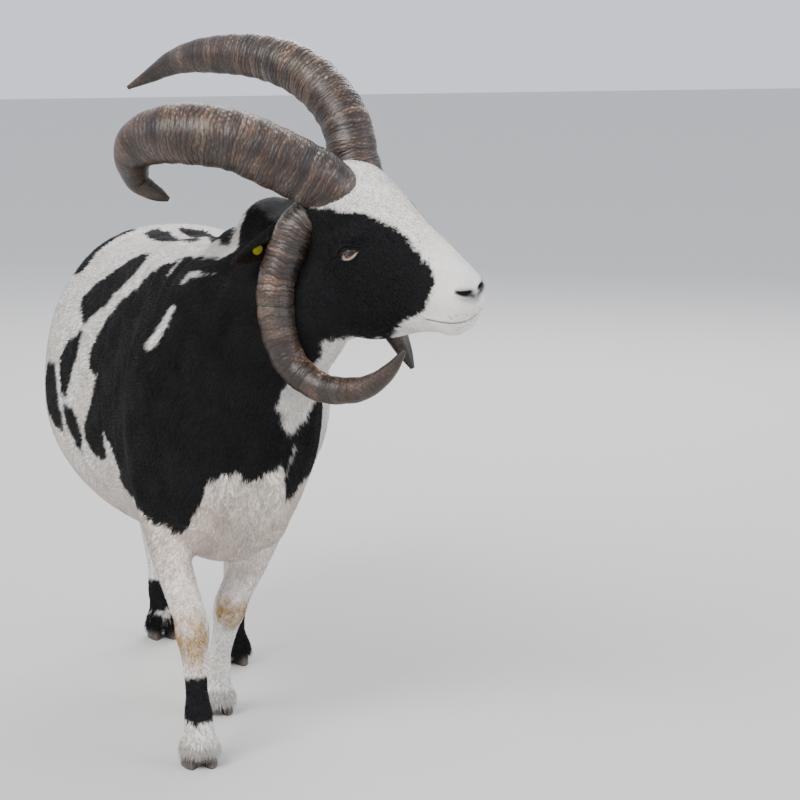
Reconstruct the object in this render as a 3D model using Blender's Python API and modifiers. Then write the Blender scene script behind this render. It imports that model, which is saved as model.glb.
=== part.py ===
"""A four-horned ram of a small piebald breed, life size, standing with its head turned to its left.

Metres, +Z up. The ram faces -Y and its left side is +X. The floor is z = 0.
"""
import bmesh
import bpy
import numpy as np
from math import cos, pi, radians, sin
from mathutils import Matrix, Vector

# Gaps and mesh fineness
GAP = 0.0003
CLEARANCE = 0.0010
VOXEL = 0.0035
HEAD_TRIANGLES = 3000
BODY_TRIANGLES = 4400
HEAD_CUT = Vector((-0.092, 0.0, -0.055))
HEAD_CUT_FACES = Vector((-0.973, 0.0, -0.229))
HORN_SIDES = 10
LOWER_HORN_SIDES = 8
HORN_RINGS = 38

# Trunk: distance along Y, half width, top, bottom
TRUNK = [
    (-0.385, 0.043, 0.545, 0.418),
    (-0.360, 0.079, 0.600, 0.334),
    (-0.310, 0.112, 0.665, 0.281),
    (-0.240, 0.138, 0.717, 0.262),
    (-0.150, 0.159, 0.737, 0.257),
    (-0.060, 0.184, 0.727, 0.254),
    (0.050, 0.217, 0.713, 0.250),
    (0.150, 0.227, 0.709, 0.262),
    (0.230, 0.217, 0.712, 0.292),
    (0.310, 0.187, 0.710, 0.342),
    (0.385, 0.148, 0.688, 0.400),
    (0.440, 0.104, 0.652, 0.465),
    (0.470, 0.048, 0.603, 0.530),
]
TRUNK_WIDEST = 0.42
BACK_SQUARENESS = 2.4

# Forms on each side of the trunk: shoulder, thigh, gaskin, forearm
SIDE_FORMS = [
    ((0.090, -0.245, 0.500), (0.058, 0.095, 0.150)),
    ((0.098, 0.325, 0.490), (0.086, 0.118, 0.170)),
    ((0.100, 0.300, 0.395), (0.060, 0.090, 0.090)),
    ((0.047, -0.300, 0.395), (0.052, 0.078, 0.105)),
]
# Forms on its middle line: pouch, sheath
MIDDLE_FORMS = [
    ((0.0, 0.235, 0.262), (0.034, 0.040, 0.070)),
    ((0.0, 0.060, 0.258), (0.018, 0.050, 0.016)),
]

# Neck: middle of each section, half depth, half width
NECK = [
    (0.000, -0.200, 0.560, 0.170, 0.125),
    (0.020, -0.290, 0.600, 0.150, 0.115),
    (0.079, -0.352, 0.668, 0.121, 0.086),
    (0.130, -0.387, 0.742, 0.099, 0.072),
    (0.152, -0.408, 0.762, 0.075, 0.066),
]
CREST_FORMS = [
    ((0.066, -0.315, 0.755), (0.058, 0.060, 0.058)),
    ((0.036, -0.248, 0.712), (0.058, 0.075, 0.055)),
]

# Head: its frame has X to the muzzle, Y to the ram's left and Z to the poll
HEAD_PLACE = Vector((0.185, -0.460, 0.778))
HEAD_TURN = radians(-46)
HEAD_DROP = radians(15)
HEAD_ROLL = radians(16)

# Head sections: distance along X, top, bottom, half width, height of the widest place
HEAD = [
    (-0.131, 0.032, -0.063, 0.042, -0.010),
    (-0.105, 0.058, -0.110, 0.061, -0.010),
    (-0.063, 0.084, -0.157, 0.071, -0.010),
    (-0.021, 0.084, -0.174, 0.073, -0.015),
    (0.018, 0.065, -0.169, 0.065, -0.026),
    (0.054, 0.047, -0.153, 0.053, -0.037),
    (0.087, 0.031, -0.133, 0.045, -0.042),
    (0.120, 0.014, -0.119, 0.041, -0.047),
    (0.148, -0.002, -0.112, 0.040, -0.052),
    (0.168, -0.018, -0.102, 0.034, -0.055),
    (0.179, -0.038, -0.076, 0.021, -0.058),
]
JAW_SQUARENESS = 2.4

# Forms on each side of the head, with their tilt: brow, cheek, jaw, lips, chin, nostril wing, temple,
# ear root
HEAD_FORMS = [
    ((-0.006, 0.053, 0.011), (0.036, 0.021, 0.013), radians(-20)),
    ((-0.042, 0.043, -0.085), (0.052, 0.027, 0.062), radians(20)),
    ((0.045, 0.031, -0.058), (0.055, 0.019, 0.036), radians(12)),
    ((0.156, 0.018, -0.059), (0.025, 0.020, 0.015), 0.0),
    ((0.143, 0.012, -0.098), (0.030, 0.019, 0.013), 0.0),
    ((0.163, 0.019, -0.036), (0.018, 0.0120, 0.015), 0.0),
    ((-0.085, 0.052, 0.000), (0.032, 0.026, 0.034), 0.0),
    ((-0.104, 0.050, -0.006), (0.020, 0.020, 0.022), 0.0),
]
HORN_BOSSES = [
    ((-0.043, -0.038, 0.042), (0.045, 0.046, 0.046)),
    ((-0.066, 0.040, 0.045), (0.037, 0.036, 0.036)),
]

# Eyes, in the head's frame: the opening slants up towards the nose
EYE = Vector((0.000, 0.0560, -0.013))
EYE_RADIUS = 0.0150
EYE_OUT = Vector((0.30, 0.94, 0.10))
EYE_SLANT = radians(33)
EYE_OPEN = (0.0138, 0.0066)
LID_RADIUS = 0.0022
LID_THICKNESS = 0.0028

# Mouth and nostrils, in the head's frame
MOUTH_CORNER = Vector((0.116, 0.0, -0.087))
MOUTH_FRONT = Vector((0.183, 0.0, -0.074))
MOUTH_HALF_WIDTH = 0.0405
MOUTH_DEPTH = 0.006
MOUTH_WIDTH = 0.0020
NOSTRIL = Vector((0.1745, 0.0165, -0.0350))
NOSTRIL_SIZE = (0.0130, 0.0042, 0.0064)

# Horns, in the head's frame: middle of each section, then its diameter
UPPER_RIGHT = [
    (-0.040, -0.036, 0.035, 0.074),
    (-0.056, -0.045, 0.066, 0.082),
    (-0.090, -0.065, 0.086, 0.086),
    (-0.119, -0.083, 0.101, 0.087),
    (-0.166, -0.110, 0.121, 0.086),
    (-0.214, -0.135, 0.124, 0.086),
    (-0.263, -0.150, 0.112, 0.080),
    (-0.297, -0.158, 0.091, 0.070),
    (-0.312, -0.158, 0.063, 0.054),
    (-0.311, -0.150, 0.027, 0.036),
    (-0.299, -0.142, 0.014, 0.029),
    (-0.285, -0.133, 0.005, 0.021),
    (-0.273, -0.125, -0.002, 0.007),
]
UPPER_LEFT = [
    (-0.048, 0.036, 0.030, 0.068),
    (-0.075, 0.044, 0.063, 0.071),
    (-0.106, 0.064, 0.101, 0.071),
    (-0.156, 0.084, 0.126, 0.070),
    (-0.221, 0.098, 0.140, 0.070),
    (-0.300, 0.102, 0.135, 0.064),
    (-0.386, 0.096, 0.112, 0.053),
    (-0.441, 0.086, 0.087, 0.038),
    (-0.480, 0.072, 0.056, 0.021),
    (-0.507, 0.055, 0.034, 0.006),
]
LOWER_RIGHT = [
    (-0.072, -0.045, 0.020, 0.050),
    (-0.085, -0.068, 0.002, 0.054),
    (-0.088, -0.092, -0.037, 0.054),
    (-0.086, -0.112, -0.073, 0.053),
    (-0.074, -0.126, -0.109, 0.052),
    (-0.055, -0.134, -0.148, 0.049),
    (-0.027, -0.138, -0.177, 0.046),
    (0.023, -0.138, -0.189, 0.041),
    (0.074, -0.134, -0.174, 0.036),
    (0.103, -0.128, -0.154, 0.029),
    (0.125, -0.120, -0.126, 0.020),
    (0.139, -0.112, -0.096, 0.007),
]
LOWER_LEFT = [
    (-0.072, 0.045, 0.020, 0.050),
    (-0.085, 0.068, 0.002, 0.054),
    (-0.096, 0.092, -0.040, 0.053),
    (-0.100, 0.108, -0.085, 0.052),
    (-0.094, 0.118, -0.135, 0.050),
    (-0.076, 0.122, -0.185, 0.045),
    (-0.045, 0.120, -0.228, 0.037),
    (-0.018, 0.114, -0.255, 0.024),
    (0.003, 0.108, -0.274, 0.007),
]
HORNS = {
    "horn_upper_right": UPPER_RIGHT,
    "horn_upper_left": UPPER_LEFT,
    "horn_lower_right": LOWER_RIGHT,
    "horn_lower_left": LOWER_LEFT,
}
RIDGE_DEPTH = 0.022

# Ears, in the head's frame, for the left side: root, tip and the way the cup opens
EAR_ROOT = Vector((-0.124, 0.050, -0.008))
EAR_TIP = Vector((-0.146, 0.134, -0.052))
EAR_OPENS = Vector((0.90, 0.05, -0.25))
EAR_HALF_WIDTH = 0.027
EAR_THICKNESS = 0.0032

# Ear tag, through the right ear
TAG_ALONG = 0.60
TAG_ACROSS = -0.30
TAG_RADIUS = 0.0078
TAG_THICKNESS = 0.0022
TAG_PIN = 0.0022

# Legs: middle of each section, half width, half depth fore and aft
FRONT_SHAPE = [(0.030, 0.050), (0.050, 0.080), (0.037, 0.052), (0.0285, 0.036), (0.0255, 0.029),
               (0.0265, 0.030), (0.0200, 0.0215), (0.0180, 0.0195), (0.0225, 0.0240), (0.0215, 0.0235),
               (0.0260, 0.0290)]
HIND_SHAPE = [(0.040, 0.060), (0.070, 0.110), (0.062, 0.093), (0.041, 0.062), (0.0245, 0.036),
              (0.0250, 0.0365), (0.0205, 0.0265), (0.0180, 0.0205), (0.0225, 0.0245), (0.0215, 0.0235),
              (0.0260, 0.0290)]
FRONT_LEGS = {
    "front_right": [
        (-0.072, -0.235, 0.600), (-0.100, -0.248, 0.490), (-0.100, -0.238, 0.370), (-0.084, -0.300, 0.270),
        (-0.070, -0.352, 0.212), (-0.067, -0.367, 0.184), (-0.066, -0.376, 0.150), (-0.065, -0.388, 0.105),
        (-0.064, -0.396, 0.074), (-0.064, -0.402, 0.052), (-0.064, -0.407, 0.026),
    ],
    "front_left": [
        (0.066, -0.225, 0.600), (0.090, -0.238, 0.490), (0.086, -0.205, 0.370), (0.050, -0.215, 0.272),
        (0.019, -0.222, 0.212), (0.010, -0.217, 0.184), (0.006, -0.200, 0.150), (0.003, -0.165, 0.105),
        (0.002, -0.143, 0.074), (0.002, -0.135, 0.052), (0.002, -0.130, 0.026),
    ],
}
HIND_LEGS = {
    "hind_right": [
        (-0.075, 0.330, 0.640), (-0.102, 0.300, 0.540), (-0.125, 0.235, 0.440), (-0.086, 0.300, 0.335),
        (-0.042, 0.385, 0.272), (-0.036, 0.395, 0.238), (-0.031, 0.390, 0.195), (-0.021, 0.380, 0.120),
        (-0.018, 0.374, 0.082), (-0.016, 0.366, 0.056), (-0.015, 0.358, 0.026),
    ],
    "hind_left": [
        (0.075, 0.330, 0.640), (0.102, 0.300, 0.540), (0.130, 0.200, 0.430), (0.115, 0.245, 0.330),
        (0.101, 0.291, 0.265), (0.098, 0.289, 0.232), (0.093, 0.262, 0.190), (0.081, 0.207, 0.120),
        (0.075, 0.178, 0.082), (0.073, 0.168, 0.056), (0.072, 0.160, 0.026),
    ],
}
HOCK_JOINT = 4

# Claws and dewclaws
CLAW_LENGTH = 0.058
CLAW_WIDTH = 0.025
CLAW_HEIGHT = 0.036
CLAW_SPREAD = 0.0145
DEWCLAW_RADIUS = 0.0075
DEWCLAW_LENGTH = 0.018

# Tail: middle of each section, half width, half depth
TAIL = [
    (-0.005, 0.420, 0.640, 0.032, 0.024),
    (-0.005, 0.468, 0.640, 0.031, 0.023),
    (-0.005, 0.502, 0.610, 0.030, 0.021),
    (-0.004, 0.516, 0.560, 0.027, 0.019),
    (-0.002, 0.520, 0.500, 0.022, 0.016),
    (0.000, 0.520, 0.455, 0.010, 0.009),
]

# Thin cuts between the pieces of flesh: centre, direction, size
LEG_CUTS = {
    "front_right": (Vector((-0.096, -0.270, 0.291)), Vector((-0.68, -0.12, -0.72)), (0.17, 0.19)),
    "front_left": (Vector((0.047, -0.219, 0.241)), Vector((0.68, -0.12, -0.72)), (0.20, 0.15)),
    "hind_right": (Vector((-0.090, 0.335, 0.314)), Vector((-0.30, 0.39, -0.87)), (0.17, 0.26)),
    "hind_left": (Vector((0.106, 0.305, 0.322)), Vector((0.30, 0.22, -0.88)), (0.17, 0.31)),
}
NECK_CUT = (Vector((0.010, -0.300, 0.645)), Vector((0.10, -0.66, 0.75)), (0.60, 0.60))
TAIL_CUT = (Vector((-0.005, 0.480, 0.600)), Vector((0.0, 1.0, 0.20)), (0.10, 0.19))
PIECE_PLACES = {
    "torso": (0.0, 0.10, 0.715),
    "neck": (0.06, -0.26, 0.73),
    "tail": (0.0, 0.53, 0.48),
    "leg_front_right": (-0.064, -0.40, 0.05),
    "leg_front_left": (0.002, -0.13, 0.05),
    "leg_hind_right": (-0.016, 0.365, 0.05),
    "leg_hind_left": (0.073, 0.165, 0.05),
}

# Looks: base colour, roughness
LOOKS = {
    "coat_black": ((0.012, 0.011, 0.011, 1.0), 0.85),
    "coat_white": ((0.78, 0.74, 0.68, 1.0), 0.85),
    "horn": ((0.16, 0.12, 0.09, 1.0), 0.5),
    "claw": ((0.07, 0.055, 0.045, 1.0), 0.55),
    "eye": ((0.28, 0.13, 0.04, 1.0), 0.1),
    "tag_yellow": ((0.78, 0.66, 0.03, 1.0), 0.4),
}


def start_clean():
    """Remove what the scene holds, and make the ram's collection."""
    for obj in list(bpy.data.objects):
        bpy.data.objects.remove(obj, do_unlink=True)
    group = bpy.data.collections.new("ram")
    bpy.context.scene.collection.children.link(group)
    return group


def look_material(name):
    """A Principled material, made once for each look."""
    material = bpy.data.materials.get(name)
    if material is None:
        colour, roughness = LOOKS[name]
        material = bpy.data.materials.new(name)
        material.use_nodes = True
        shader = material.node_tree.nodes["Principled BSDF"]
        shader.inputs["Base Color"].default_value = colour
        shader.inputs["Roughness"].default_value = roughness
    return material


def add_object(name, mesh, group, look):
    """Link a mesh to the ram's collection under its node's name."""
    mesh.name = name
    obj = bpy.data.objects.new(name, mesh)
    group.objects.link(obj)
    mesh.materials.clear()
    mesh.materials.append(look_material(look))


def evaluated(obj):
    """The mesh of an object with its modifiers applied; the object is then removed."""
    bpy.context.view_layer.update()
    graph = bpy.context.evaluated_depsgraph_get()
    mesh = bpy.data.meshes.new_from_object(obj.evaluated_get(graph), depsgraph=graph)
    bpy.data.objects.remove(obj, do_unlink=True)
    return mesh


def smooth_rows(rows, steps):
    """Rows along a smooth curve through the given rows, with a number of steps between two."""
    rows = [np.array(row, float) for row in rows]
    padded = [2 * rows[0] - rows[1], *rows, 2 * rows[-1] - rows[-2]]
    result = []
    for a, b, c, d in zip(padded, padded[1:], padded[2:], padded[3:]):
        for k in range(steps):
            t = k / steps
            result.append(0.5 * (2 * b + (c - a) * t + (2 * a - 5 * b + 4 * c - d) * t * t
                                 + (3 * b - a - 3 * c + d) * t ** 3))
    result.append(rows[-1])
    return result


def ring(centre, side, up, half_side, half_up, half_down, squareness=(2.0, 2.0), count=28):
    """One closed section, with its own height and squareness above and below its middle."""
    points = []
    for k in range(count):
        c = cos(2 * pi * k / count)
        s = sin(2 * pi * k / count)
        reach, power = (half_up, squareness[0]) if s >= 0 else (half_down, squareness[1])
        along = half_side * np.sign(c) * abs(c) ** (2 / power)
        above = reach * np.sign(s) * abs(s) ** (2 / power)
        points.append(centre + side * along + up * above)
    return points


def loft(bm, rings):
    """A closed skin through a list of rings, with a point at the middle of each end."""
    loops = [[bm.verts.new(p) for p in points] for points in rings]
    for low, high in zip(loops, loops[1:]):
        for k in range(len(low)):
            nxt = (k + 1) % len(low)
            bm.faces.new((low[k], low[nxt], high[nxt], high[k]))
    for loop in (loops[0], loops[-1]):
        middle = bm.verts.new(sum((v.co for v in loop), Vector()) / len(loop))
        for k in range(len(loop)):
            bm.faces.new((middle, loop[k], loop[(k + 1) % len(loop)]))


def path_frames(points, first_side):
    """For each point of a path, a side and an up direction square to it, turned as little as can be."""
    frames = []
    side = first_side.normalized()
    for k, point in enumerate(points):
        ahead = points[min(k + 1, len(points) - 1)] - points[max(k - 1, 0)]
        ahead.normalize()
        side = (side - ahead * side.dot(ahead)).normalized()
        frames.append((point, side, side.cross(ahead)))
    return frames


def ball(bm, centre, radii, frame=Matrix(), tilt=0.0, segments=24):
    """An ellipsoid in a frame, tipped about the frame's Y."""
    place = frame @ Matrix.Translation(centre)
    matrix = place @ Matrix.Rotation(tilt, 4, "Y") @ Matrix.Diagonal((*radii, 1.0))
    bmesh.ops.create_uvsphere(bm, u_segments=segments, v_segments=segments // 2, radius=1.0, matrix=matrix)


def to_mesh(bm, name):
    """A finished mesh from a bmesh, with every closed shell facing out."""
    bmesh.ops.recalc_face_normals(bm, faces=bm.faces)
    mesh = bpy.data.meshes.new(name)
    bm.to_mesh(mesh)
    bm.free()
    return mesh


def head_frame():
    """The head's place: turned to the ram's left, dropped at the nose and rolled."""
    turn = Matrix.Rotation(HEAD_TURN, 4, "Z")
    drop = Matrix.Rotation(HEAD_DROP, 4, "Y")
    roll = Matrix.Rotation(HEAD_ROLL, 4, "X")
    return Matrix.Translation(HEAD_PLACE) @ turn @ drop @ roll


def trunk(bm):
    """Chest, barrel and rump."""
    rings = []
    for y, half, top, bottom in smooth_rows(TRUNK, 4):
        widest = bottom + TRUNK_WIDEST * (top - bottom)
        rings.append(ring(Vector((0, y, widest)), Vector((1, 0, 0)), Vector((0, 0, 1)), half,
                          top - widest, widest - bottom, (BACK_SQUARENESS, 2.0), 40))
    loft(bm, rings)
    for centre, radii in SIDE_FORMS:
        for side in (-1, 1):
            ball(bm, (side * centre[0], centre[1], centre[2]), radii)
    for centre, radii in MIDDLE_FORMS:
        ball(bm, centre, radii)


def neck(bm):
    """The neck, bending to the ram's left as it rises."""
    rows = smooth_rows(NECK, 5)
    points = [Vector(row[:3]) for row in rows]
    rings = []
    for (point, side, up), row in zip(path_frames(points, Vector((1, 0.3, 0))), rows):
        rings.append(ring(point, side, up, row[4], row[3], row[3], count=32))
    loft(bm, rings)
    for centre, radii in CREST_FORMS:
        ball(bm, centre, radii)


def head(bm):
    """Skull, cheeks, brows, muzzle, lips and chin."""
    frame = head_frame()
    rings = []
    for x, top, bottom, half, widest in smooth_rows(HEAD, 4):
        points = ring(Vector((x, 0, widest)), Vector((0, 1, 0)), Vector((0, 0, 1)), half,
                      top - widest, widest - bottom, (2.1, JAW_SQUARENESS), 32)
        rings.append([frame @ p for p in points])
    loft(bm, rings)
    for side in (-1, 1):
        ball(bm, (EYE.x, side * EYE.y, EYE.z), [EYE_RADIUS + LID_THICKNESS] * 3, frame)
        for centre, radii, tilt in HEAD_FORMS:
            ball(bm, (centre[0], side * centre[1], centre[2]), radii, frame, tilt)
    for centre, radii in HORN_BOSSES:
        ball(bm, centre, radii, frame)


def leg(bm, points, shape):
    """One leg from inside the trunk to the top of its claws."""
    rows = smooth_rows([(*p, *s) for p, s in zip(points, shape)], 4)
    frames = path_frames([Vector(row[:3]) for row in rows], Vector((1, 0, 0)))
    loft(bm, [ring(point, side, up, row[3], row[4], row[4], count=20)
              for (point, side, up), row in zip(frames, rows)])


def hock(bm, points):
    """The point of the hock, behind the joint."""
    at = Vector(points[HOCK_JOINT]) + Vector((0, 0.024, 0.012))
    ball(bm, at, (0.015, 0.018, 0.026))


def tail(bm):
    """A short hanging tail."""
    rows = smooth_rows(TAIL, 4)
    frames = path_frames([Vector(row[:3]) for row in rows], Vector((1, 0, 0)))
    loft(bm, [ring(point, side, up, row[3], row[4], row[4], count=16)
              for (point, side, up), row in zip(frames, rows)])


def flesh():
    """The whole body of flesh as one smooth closed mesh."""
    bm = bmesh.new()
    trunk(bm)
    neck(bm)
    head(bm)
    for points in FRONT_LEGS.values():
        leg(bm, points, FRONT_SHAPE)
    for points in HIND_LEGS.values():
        leg(bm, points, HIND_SHAPE)
        hock(bm, points)
    tail(bm)
    obj = bpy.data.objects.new("flesh", to_mesh(bm, "flesh"))
    bpy.context.scene.collection.objects.link(obj)
    remesh = obj.modifiers.new("Remesh", "REMESH")
    remesh.mode = "VOXEL"
    remesh.voxel_size = VOXEL
    return evaluated(obj)


def trunk_share(point, to_head):
    """How far a point of the flesh is trunk and not head or lower leg, from 0 to 1."""
    away = (to_head @ point).length
    from_head = min(max((away - 0.20) / 0.10, 0.0), 1.0)
    from_floor = min(max((point.z - 0.24) / 0.12, 0.0), 1.0)
    return from_head * from_floor


def smoothed_flesh():
    """The flesh with its joins smoothed, most on the trunk."""
    mesh = flesh()
    obj = bpy.data.objects.new("flesh", mesh)
    bpy.context.scene.collection.objects.link(obj)
    to_head = head_frame().inverted()
    levels = 10
    members = {}
    for vertex in mesh.vertices:
        share = round(trunk_share(vertex.co, to_head) * levels)
        members.setdefault(share, []).append(vertex.index)
    soft = obj.vertex_groups.new(name="trunk")
    for share, indices in members.items():
        soft.add(indices, share / levels, "REPLACE")
    even = obj.modifiers.new("Even", "SMOOTH")
    even.factor = 0.5
    even.iterations = 4
    round_off = obj.modifiers.new("Round off", "SMOOTH")
    round_off.factor = 0.5
    round_off.iterations = 45
    round_off.vertex_group = "trunk"
    return evaluated(obj)


def half_of(mesh, point, normal, triangles):
    """The part of a closed mesh on the normal's side of a plane, capped and thinned."""
    bm = bmesh.new()
    bm.from_mesh(mesh)
    bmesh.ops.bisect_plane(bm, geom=[*bm.verts, *bm.edges, *bm.faces], dist=1e-6,
                           plane_co=point, plane_no=-normal, clear_outer=True)
    bmesh.ops.holes_fill(bm, edges=[e for e in bm.edges if e.is_boundary])
    bmesh.ops.triangulate(bm, faces=bm.faces)
    obj = bpy.data.objects.new("half", to_mesh(bm, "half"))
    bpy.context.scene.collection.objects.link(obj)
    thin = obj.modifiers.new("Thin", "DECIMATE")
    thin.ratio = triangles / len(obj.data.polygons)
    thinned = evaluated(obj)
    for vertex in thinned.vertices:
        height = (vertex.co - point).dot(normal)
        if height < GAP:
            vertex.co -= normal * height
    return thinned


def largest_shell(mesh):
    """Keep only the biggest closed surface of a mesh."""
    bm = bmesh.new()
    bm.from_mesh(mesh)
    left = set(bm.faces)
    shells = []
    while left:
        seed = left.pop()
        shell = [seed]
        queue = [seed]
        while queue:
            for edge in queue.pop().edges:
                for face in edge.link_faces:
                    if face in left:
                        left.remove(face)
                        shell.append(face)
                        queue.append(face)
        shells.append(shell)
    shells.sort(key=lambda shell: sum(f.calc_area() for f in shell))
    bmesh.ops.delete(bm, geom=[f for shell in shells[:-1] for f in shell], context="FACES")
    bm.to_mesh(mesh)
    bm.free()
    return mesh


def combine(mesh, others, operation):
    """A mesh cut by, or joined to, each of a list of closed meshes."""
    obj = bpy.data.objects.new("base", mesh)
    bpy.context.scene.collection.objects.link(obj)
    tools = []
    for other in others:
        tool = bpy.data.objects.new("tool", other)
        tool.hide_render = True
        tool.display_type = "WIRE"
        bpy.context.scene.collection.objects.link(tool)
        boolean = obj.modifiers.new("Combine", "BOOLEAN")
        boolean.operation = operation
        boolean.object = tool
        boolean.solver = "MANIFOLD"
        tools.append(tool)
    result = evaluated(obj)
    for tool in tools:
        bpy.data.objects.remove(tool, do_unlink=True)
    return result


def inflated(mesh, by=GAP):
    """A copy of a mesh, a little larger all round."""
    copy = mesh.copy()
    normals = [Vector(n.vector) for n in mesh.vertex_normals]
    for vertex, normal in zip(copy.vertices, normals):
        vertex.co += normal * by
    return copy


def slab(centre, normal, size):
    """A thin plate, one gap thick, that parts what it passes through; its sizes run across and along."""
    normal = normal.normalized()
    across = (Vector((1, 0, 0)) - normal * normal.x).normalized()
    along = normal.cross(across)
    turn = Matrix((across, along, normal)).transposed().to_4x4()
    bm = bmesh.new()
    bmesh.ops.create_cube(bm, size=1.0, matrix=Matrix.Translation(centre) @ turn
                          @ Matrix.Diagonal((size[0], size[1], GAP, 1.0)))
    return to_mesh(bm, "slab")


def shells_of(mesh):
    """Each closed surface of a mesh as a mesh of its own."""
    bm = bmesh.new()
    bm.from_mesh(mesh)
    left = set(bm.faces)
    meshes = []
    while left:
        queue = [left.pop()]
        shell = set(queue)
        while queue:
            for edge in queue.pop().edges:
                for face in edge.link_faces:
                    if face in left:
                        left.remove(face)
                        shell.add(face)
                        queue.append(face)
        piece = bm.copy()
        keep = {face.index for face in shell}
        piece.faces.ensure_lookup_table()
        bmesh.ops.delete(piece, geom=[f for f in piece.faces if f.index not in keep], context="FACES")
        meshes.append(to_mesh(piece, "piece"))
    bm.free()
    return meshes


def even_rows(rows, count):
    """Rows spaced evenly along a smooth path through the given rows."""
    fine = np.array(smooth_rows(rows, 12))
    steps = np.linalg.norm(np.diff(fine[:, :3], axis=0), axis=1)
    length = np.concatenate([[0.0], np.cumsum(steps)])
    places = np.linspace(0.0, length[-1], count)
    return np.array([np.interp(places, length, column) for column in fine.T]).T


def horn(rows, sides):
    """A tapering horn with rings of growth across it."""
    frame = head_frame()
    rows = even_rows(rows, HORN_RINGS)
    points = [frame @ Vector(row[:3]) for row in rows]
    bm = bmesh.new()
    rings = []
    for k, (point, side, up) in enumerate(path_frames(points, Vector((0, 0, 1)))):
        ridge = 1 + RIDGE_DEPTH * (-1) ** k * (1 - k / HORN_RINGS)
        radius = rows[k][3] / 2 * ridge
        rings.append(ring(point, side, up, radius, radius, radius, count=sides))
    loft(bm, rings)
    return to_mesh(bm, "horn")


def ear_directions(side):
    """Root, length axis, cup opening and width of one ear, in the world."""
    frame = head_frame()
    root = frame @ Vector((EAR_ROOT.x, side * EAR_ROOT.y, EAR_ROOT.z))
    tip = frame @ Vector((EAR_TIP.x, side * EAR_TIP.y, EAR_TIP.z))
    opens = frame.to_3x3() @ Vector((EAR_OPENS.x, side * EAR_OPENS.y, EAR_OPENS.z))
    axis = tip - root
    opens = (opens - axis * opens.dot(axis) / axis.length_squared).normalized()
    return root, axis, opens, axis.normalized().cross(opens)


def ear_point(side, along, across):
    """A point of the ear's middle surface: along from root to tip, across from edge to edge."""
    root, axis, opens, width = ear_directions(side)
    half_angle = radians(125) * (1 - along) + radians(48) * along
    leaf = EAR_HALF_WIDTH * (0.6 + 0.4 * sin(pi * min(1.15 * along, 1.0))) * (1 - along ** 4) ** 0.5 + 0.0015
    radius = 1.25 * leaf / half_angle
    angle = half_angle * across
    return root + axis * along + width * radius * sin(angle) + opens * radius * (1 - cos(angle))


def ear_facing(side, along, across):
    """The way the cup's inner face looks at one point of the ear."""
    step = 0.02
    down = ear_point(side, along, across + step) - ear_point(side, along, across - step)
    out = ear_point(side, along + step, across) - ear_point(side, along - step, across)
    facing = out.cross(down).normalized()
    return facing if facing.dot(ear_directions(side)[2]) > 0 else -facing


def ear(side):
    """A cupped leaf of one thickness."""
    rows, columns = 9, 7
    bm = bmesh.new()
    grid = []
    for k in range(rows):
        along = k / (rows - 1)
        points = [ear_point(side, along, 2 * j / (columns - 1) - 1) for j in range(columns)]
        grid.append([bm.verts.new(point) for point in points])
    for low, high in zip(grid, grid[1:]):
        for j in range(columns - 1):
            bm.faces.new((low[j], low[j + 1], high[j + 1], high[j]))
    obj = bpy.data.objects.new("ear", to_mesh(bm, "ear"))
    bpy.context.scene.collection.objects.link(obj)
    wall = obj.modifiers.new("Wall", "SOLIDIFY")
    wall.thickness = EAR_THICKNESS
    wall.offset = 0.0
    return evaluated(obj)


def rod(start, end, radius, sides=12):
    """A plain round rod between two points."""
    bm = bmesh.new()
    axis = end - start
    turn = axis.to_track_quat("Z", "Y").to_matrix().to_4x4()
    bmesh.ops.create_cone(bm, cap_ends=True, segments=sides, radius1=radius, radius2=radius,
                          depth=axis.length, matrix=Matrix.Translation((start + end) / 2) @ turn)
    return to_mesh(bm, "rod")


def ear_tag():
    """A button tag: a plate on each side of the ear, joined by a pin through it."""
    middle = ear_point(-1, TAG_ALONG, TAG_ACROSS)
    opens = ear_facing(-1, TAG_ALONG, TAG_ACROSS)
    front = EAR_THICKNESS / 2 + 0.0022
    back = EAR_THICKNESS / 2 + GAP
    face = rod(middle + opens * front, middle + opens * (front + TAG_THICKNESS), TAG_RADIUS, 16)
    rear = rod(middle - opens * (back + TAG_THICKNESS), middle - opens * back, TAG_RADIUS * 0.8, 16)
    half = TAG_THICKNESS / 2
    pin = rod(middle - opens * (back + half), middle + opens * (front + half), TAG_PIN)
    hole = rod(middle - opens * 0.006, middle + opens * 0.006, TAG_PIN + GAP)
    return combine(face, [rear, pin], "UNION"), hole


def eye_axes(side):
    """The eye's centre, its outward direction, and the long and short ways of the opening."""
    frame = head_frame()
    turn = frame.to_3x3()
    out = Vector((EYE_OUT.x, side * EYE_OUT.y, EYE_OUT.z)).normalized()
    along = Vector((cos(EYE_SLANT), 0, sin(EYE_SLANT)))
    along = (along - out * along.dot(out)).normalized()
    centre = frame @ Vector((EYE.x, side * EYE.y, EYE.z))
    return centre, turn @ out, turn @ along, turn @ out.cross(along).normalized()


def almond(side, reach, grow, count=16):
    """Points round the eye's opening, at a distance out from the eye's centre."""
    centre, out, along, across = eye_axes(side)
    points = []
    for k in range(count):
        a = 2 * pi * k / count
        width = (EYE_OPEN[0] + grow) * cos(a)
        height = (EYE_OPEN[1] + grow) * sin(a) * (1 - 0.35 * cos(a) ** 2)
        points.append(centre + along * width + across * height + out * reach)
    return points


def eyeball(side, grow=0.0):
    """A round eye."""
    bm = bmesh.new()
    centre = eye_axes(side)[0]
    bmesh.ops.create_uvsphere(bm, u_segments=14, v_segments=8, radius=EYE_RADIUS + grow,
                              matrix=Matrix.Translation(centre))
    return to_mesh(bm, "eye")


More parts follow.
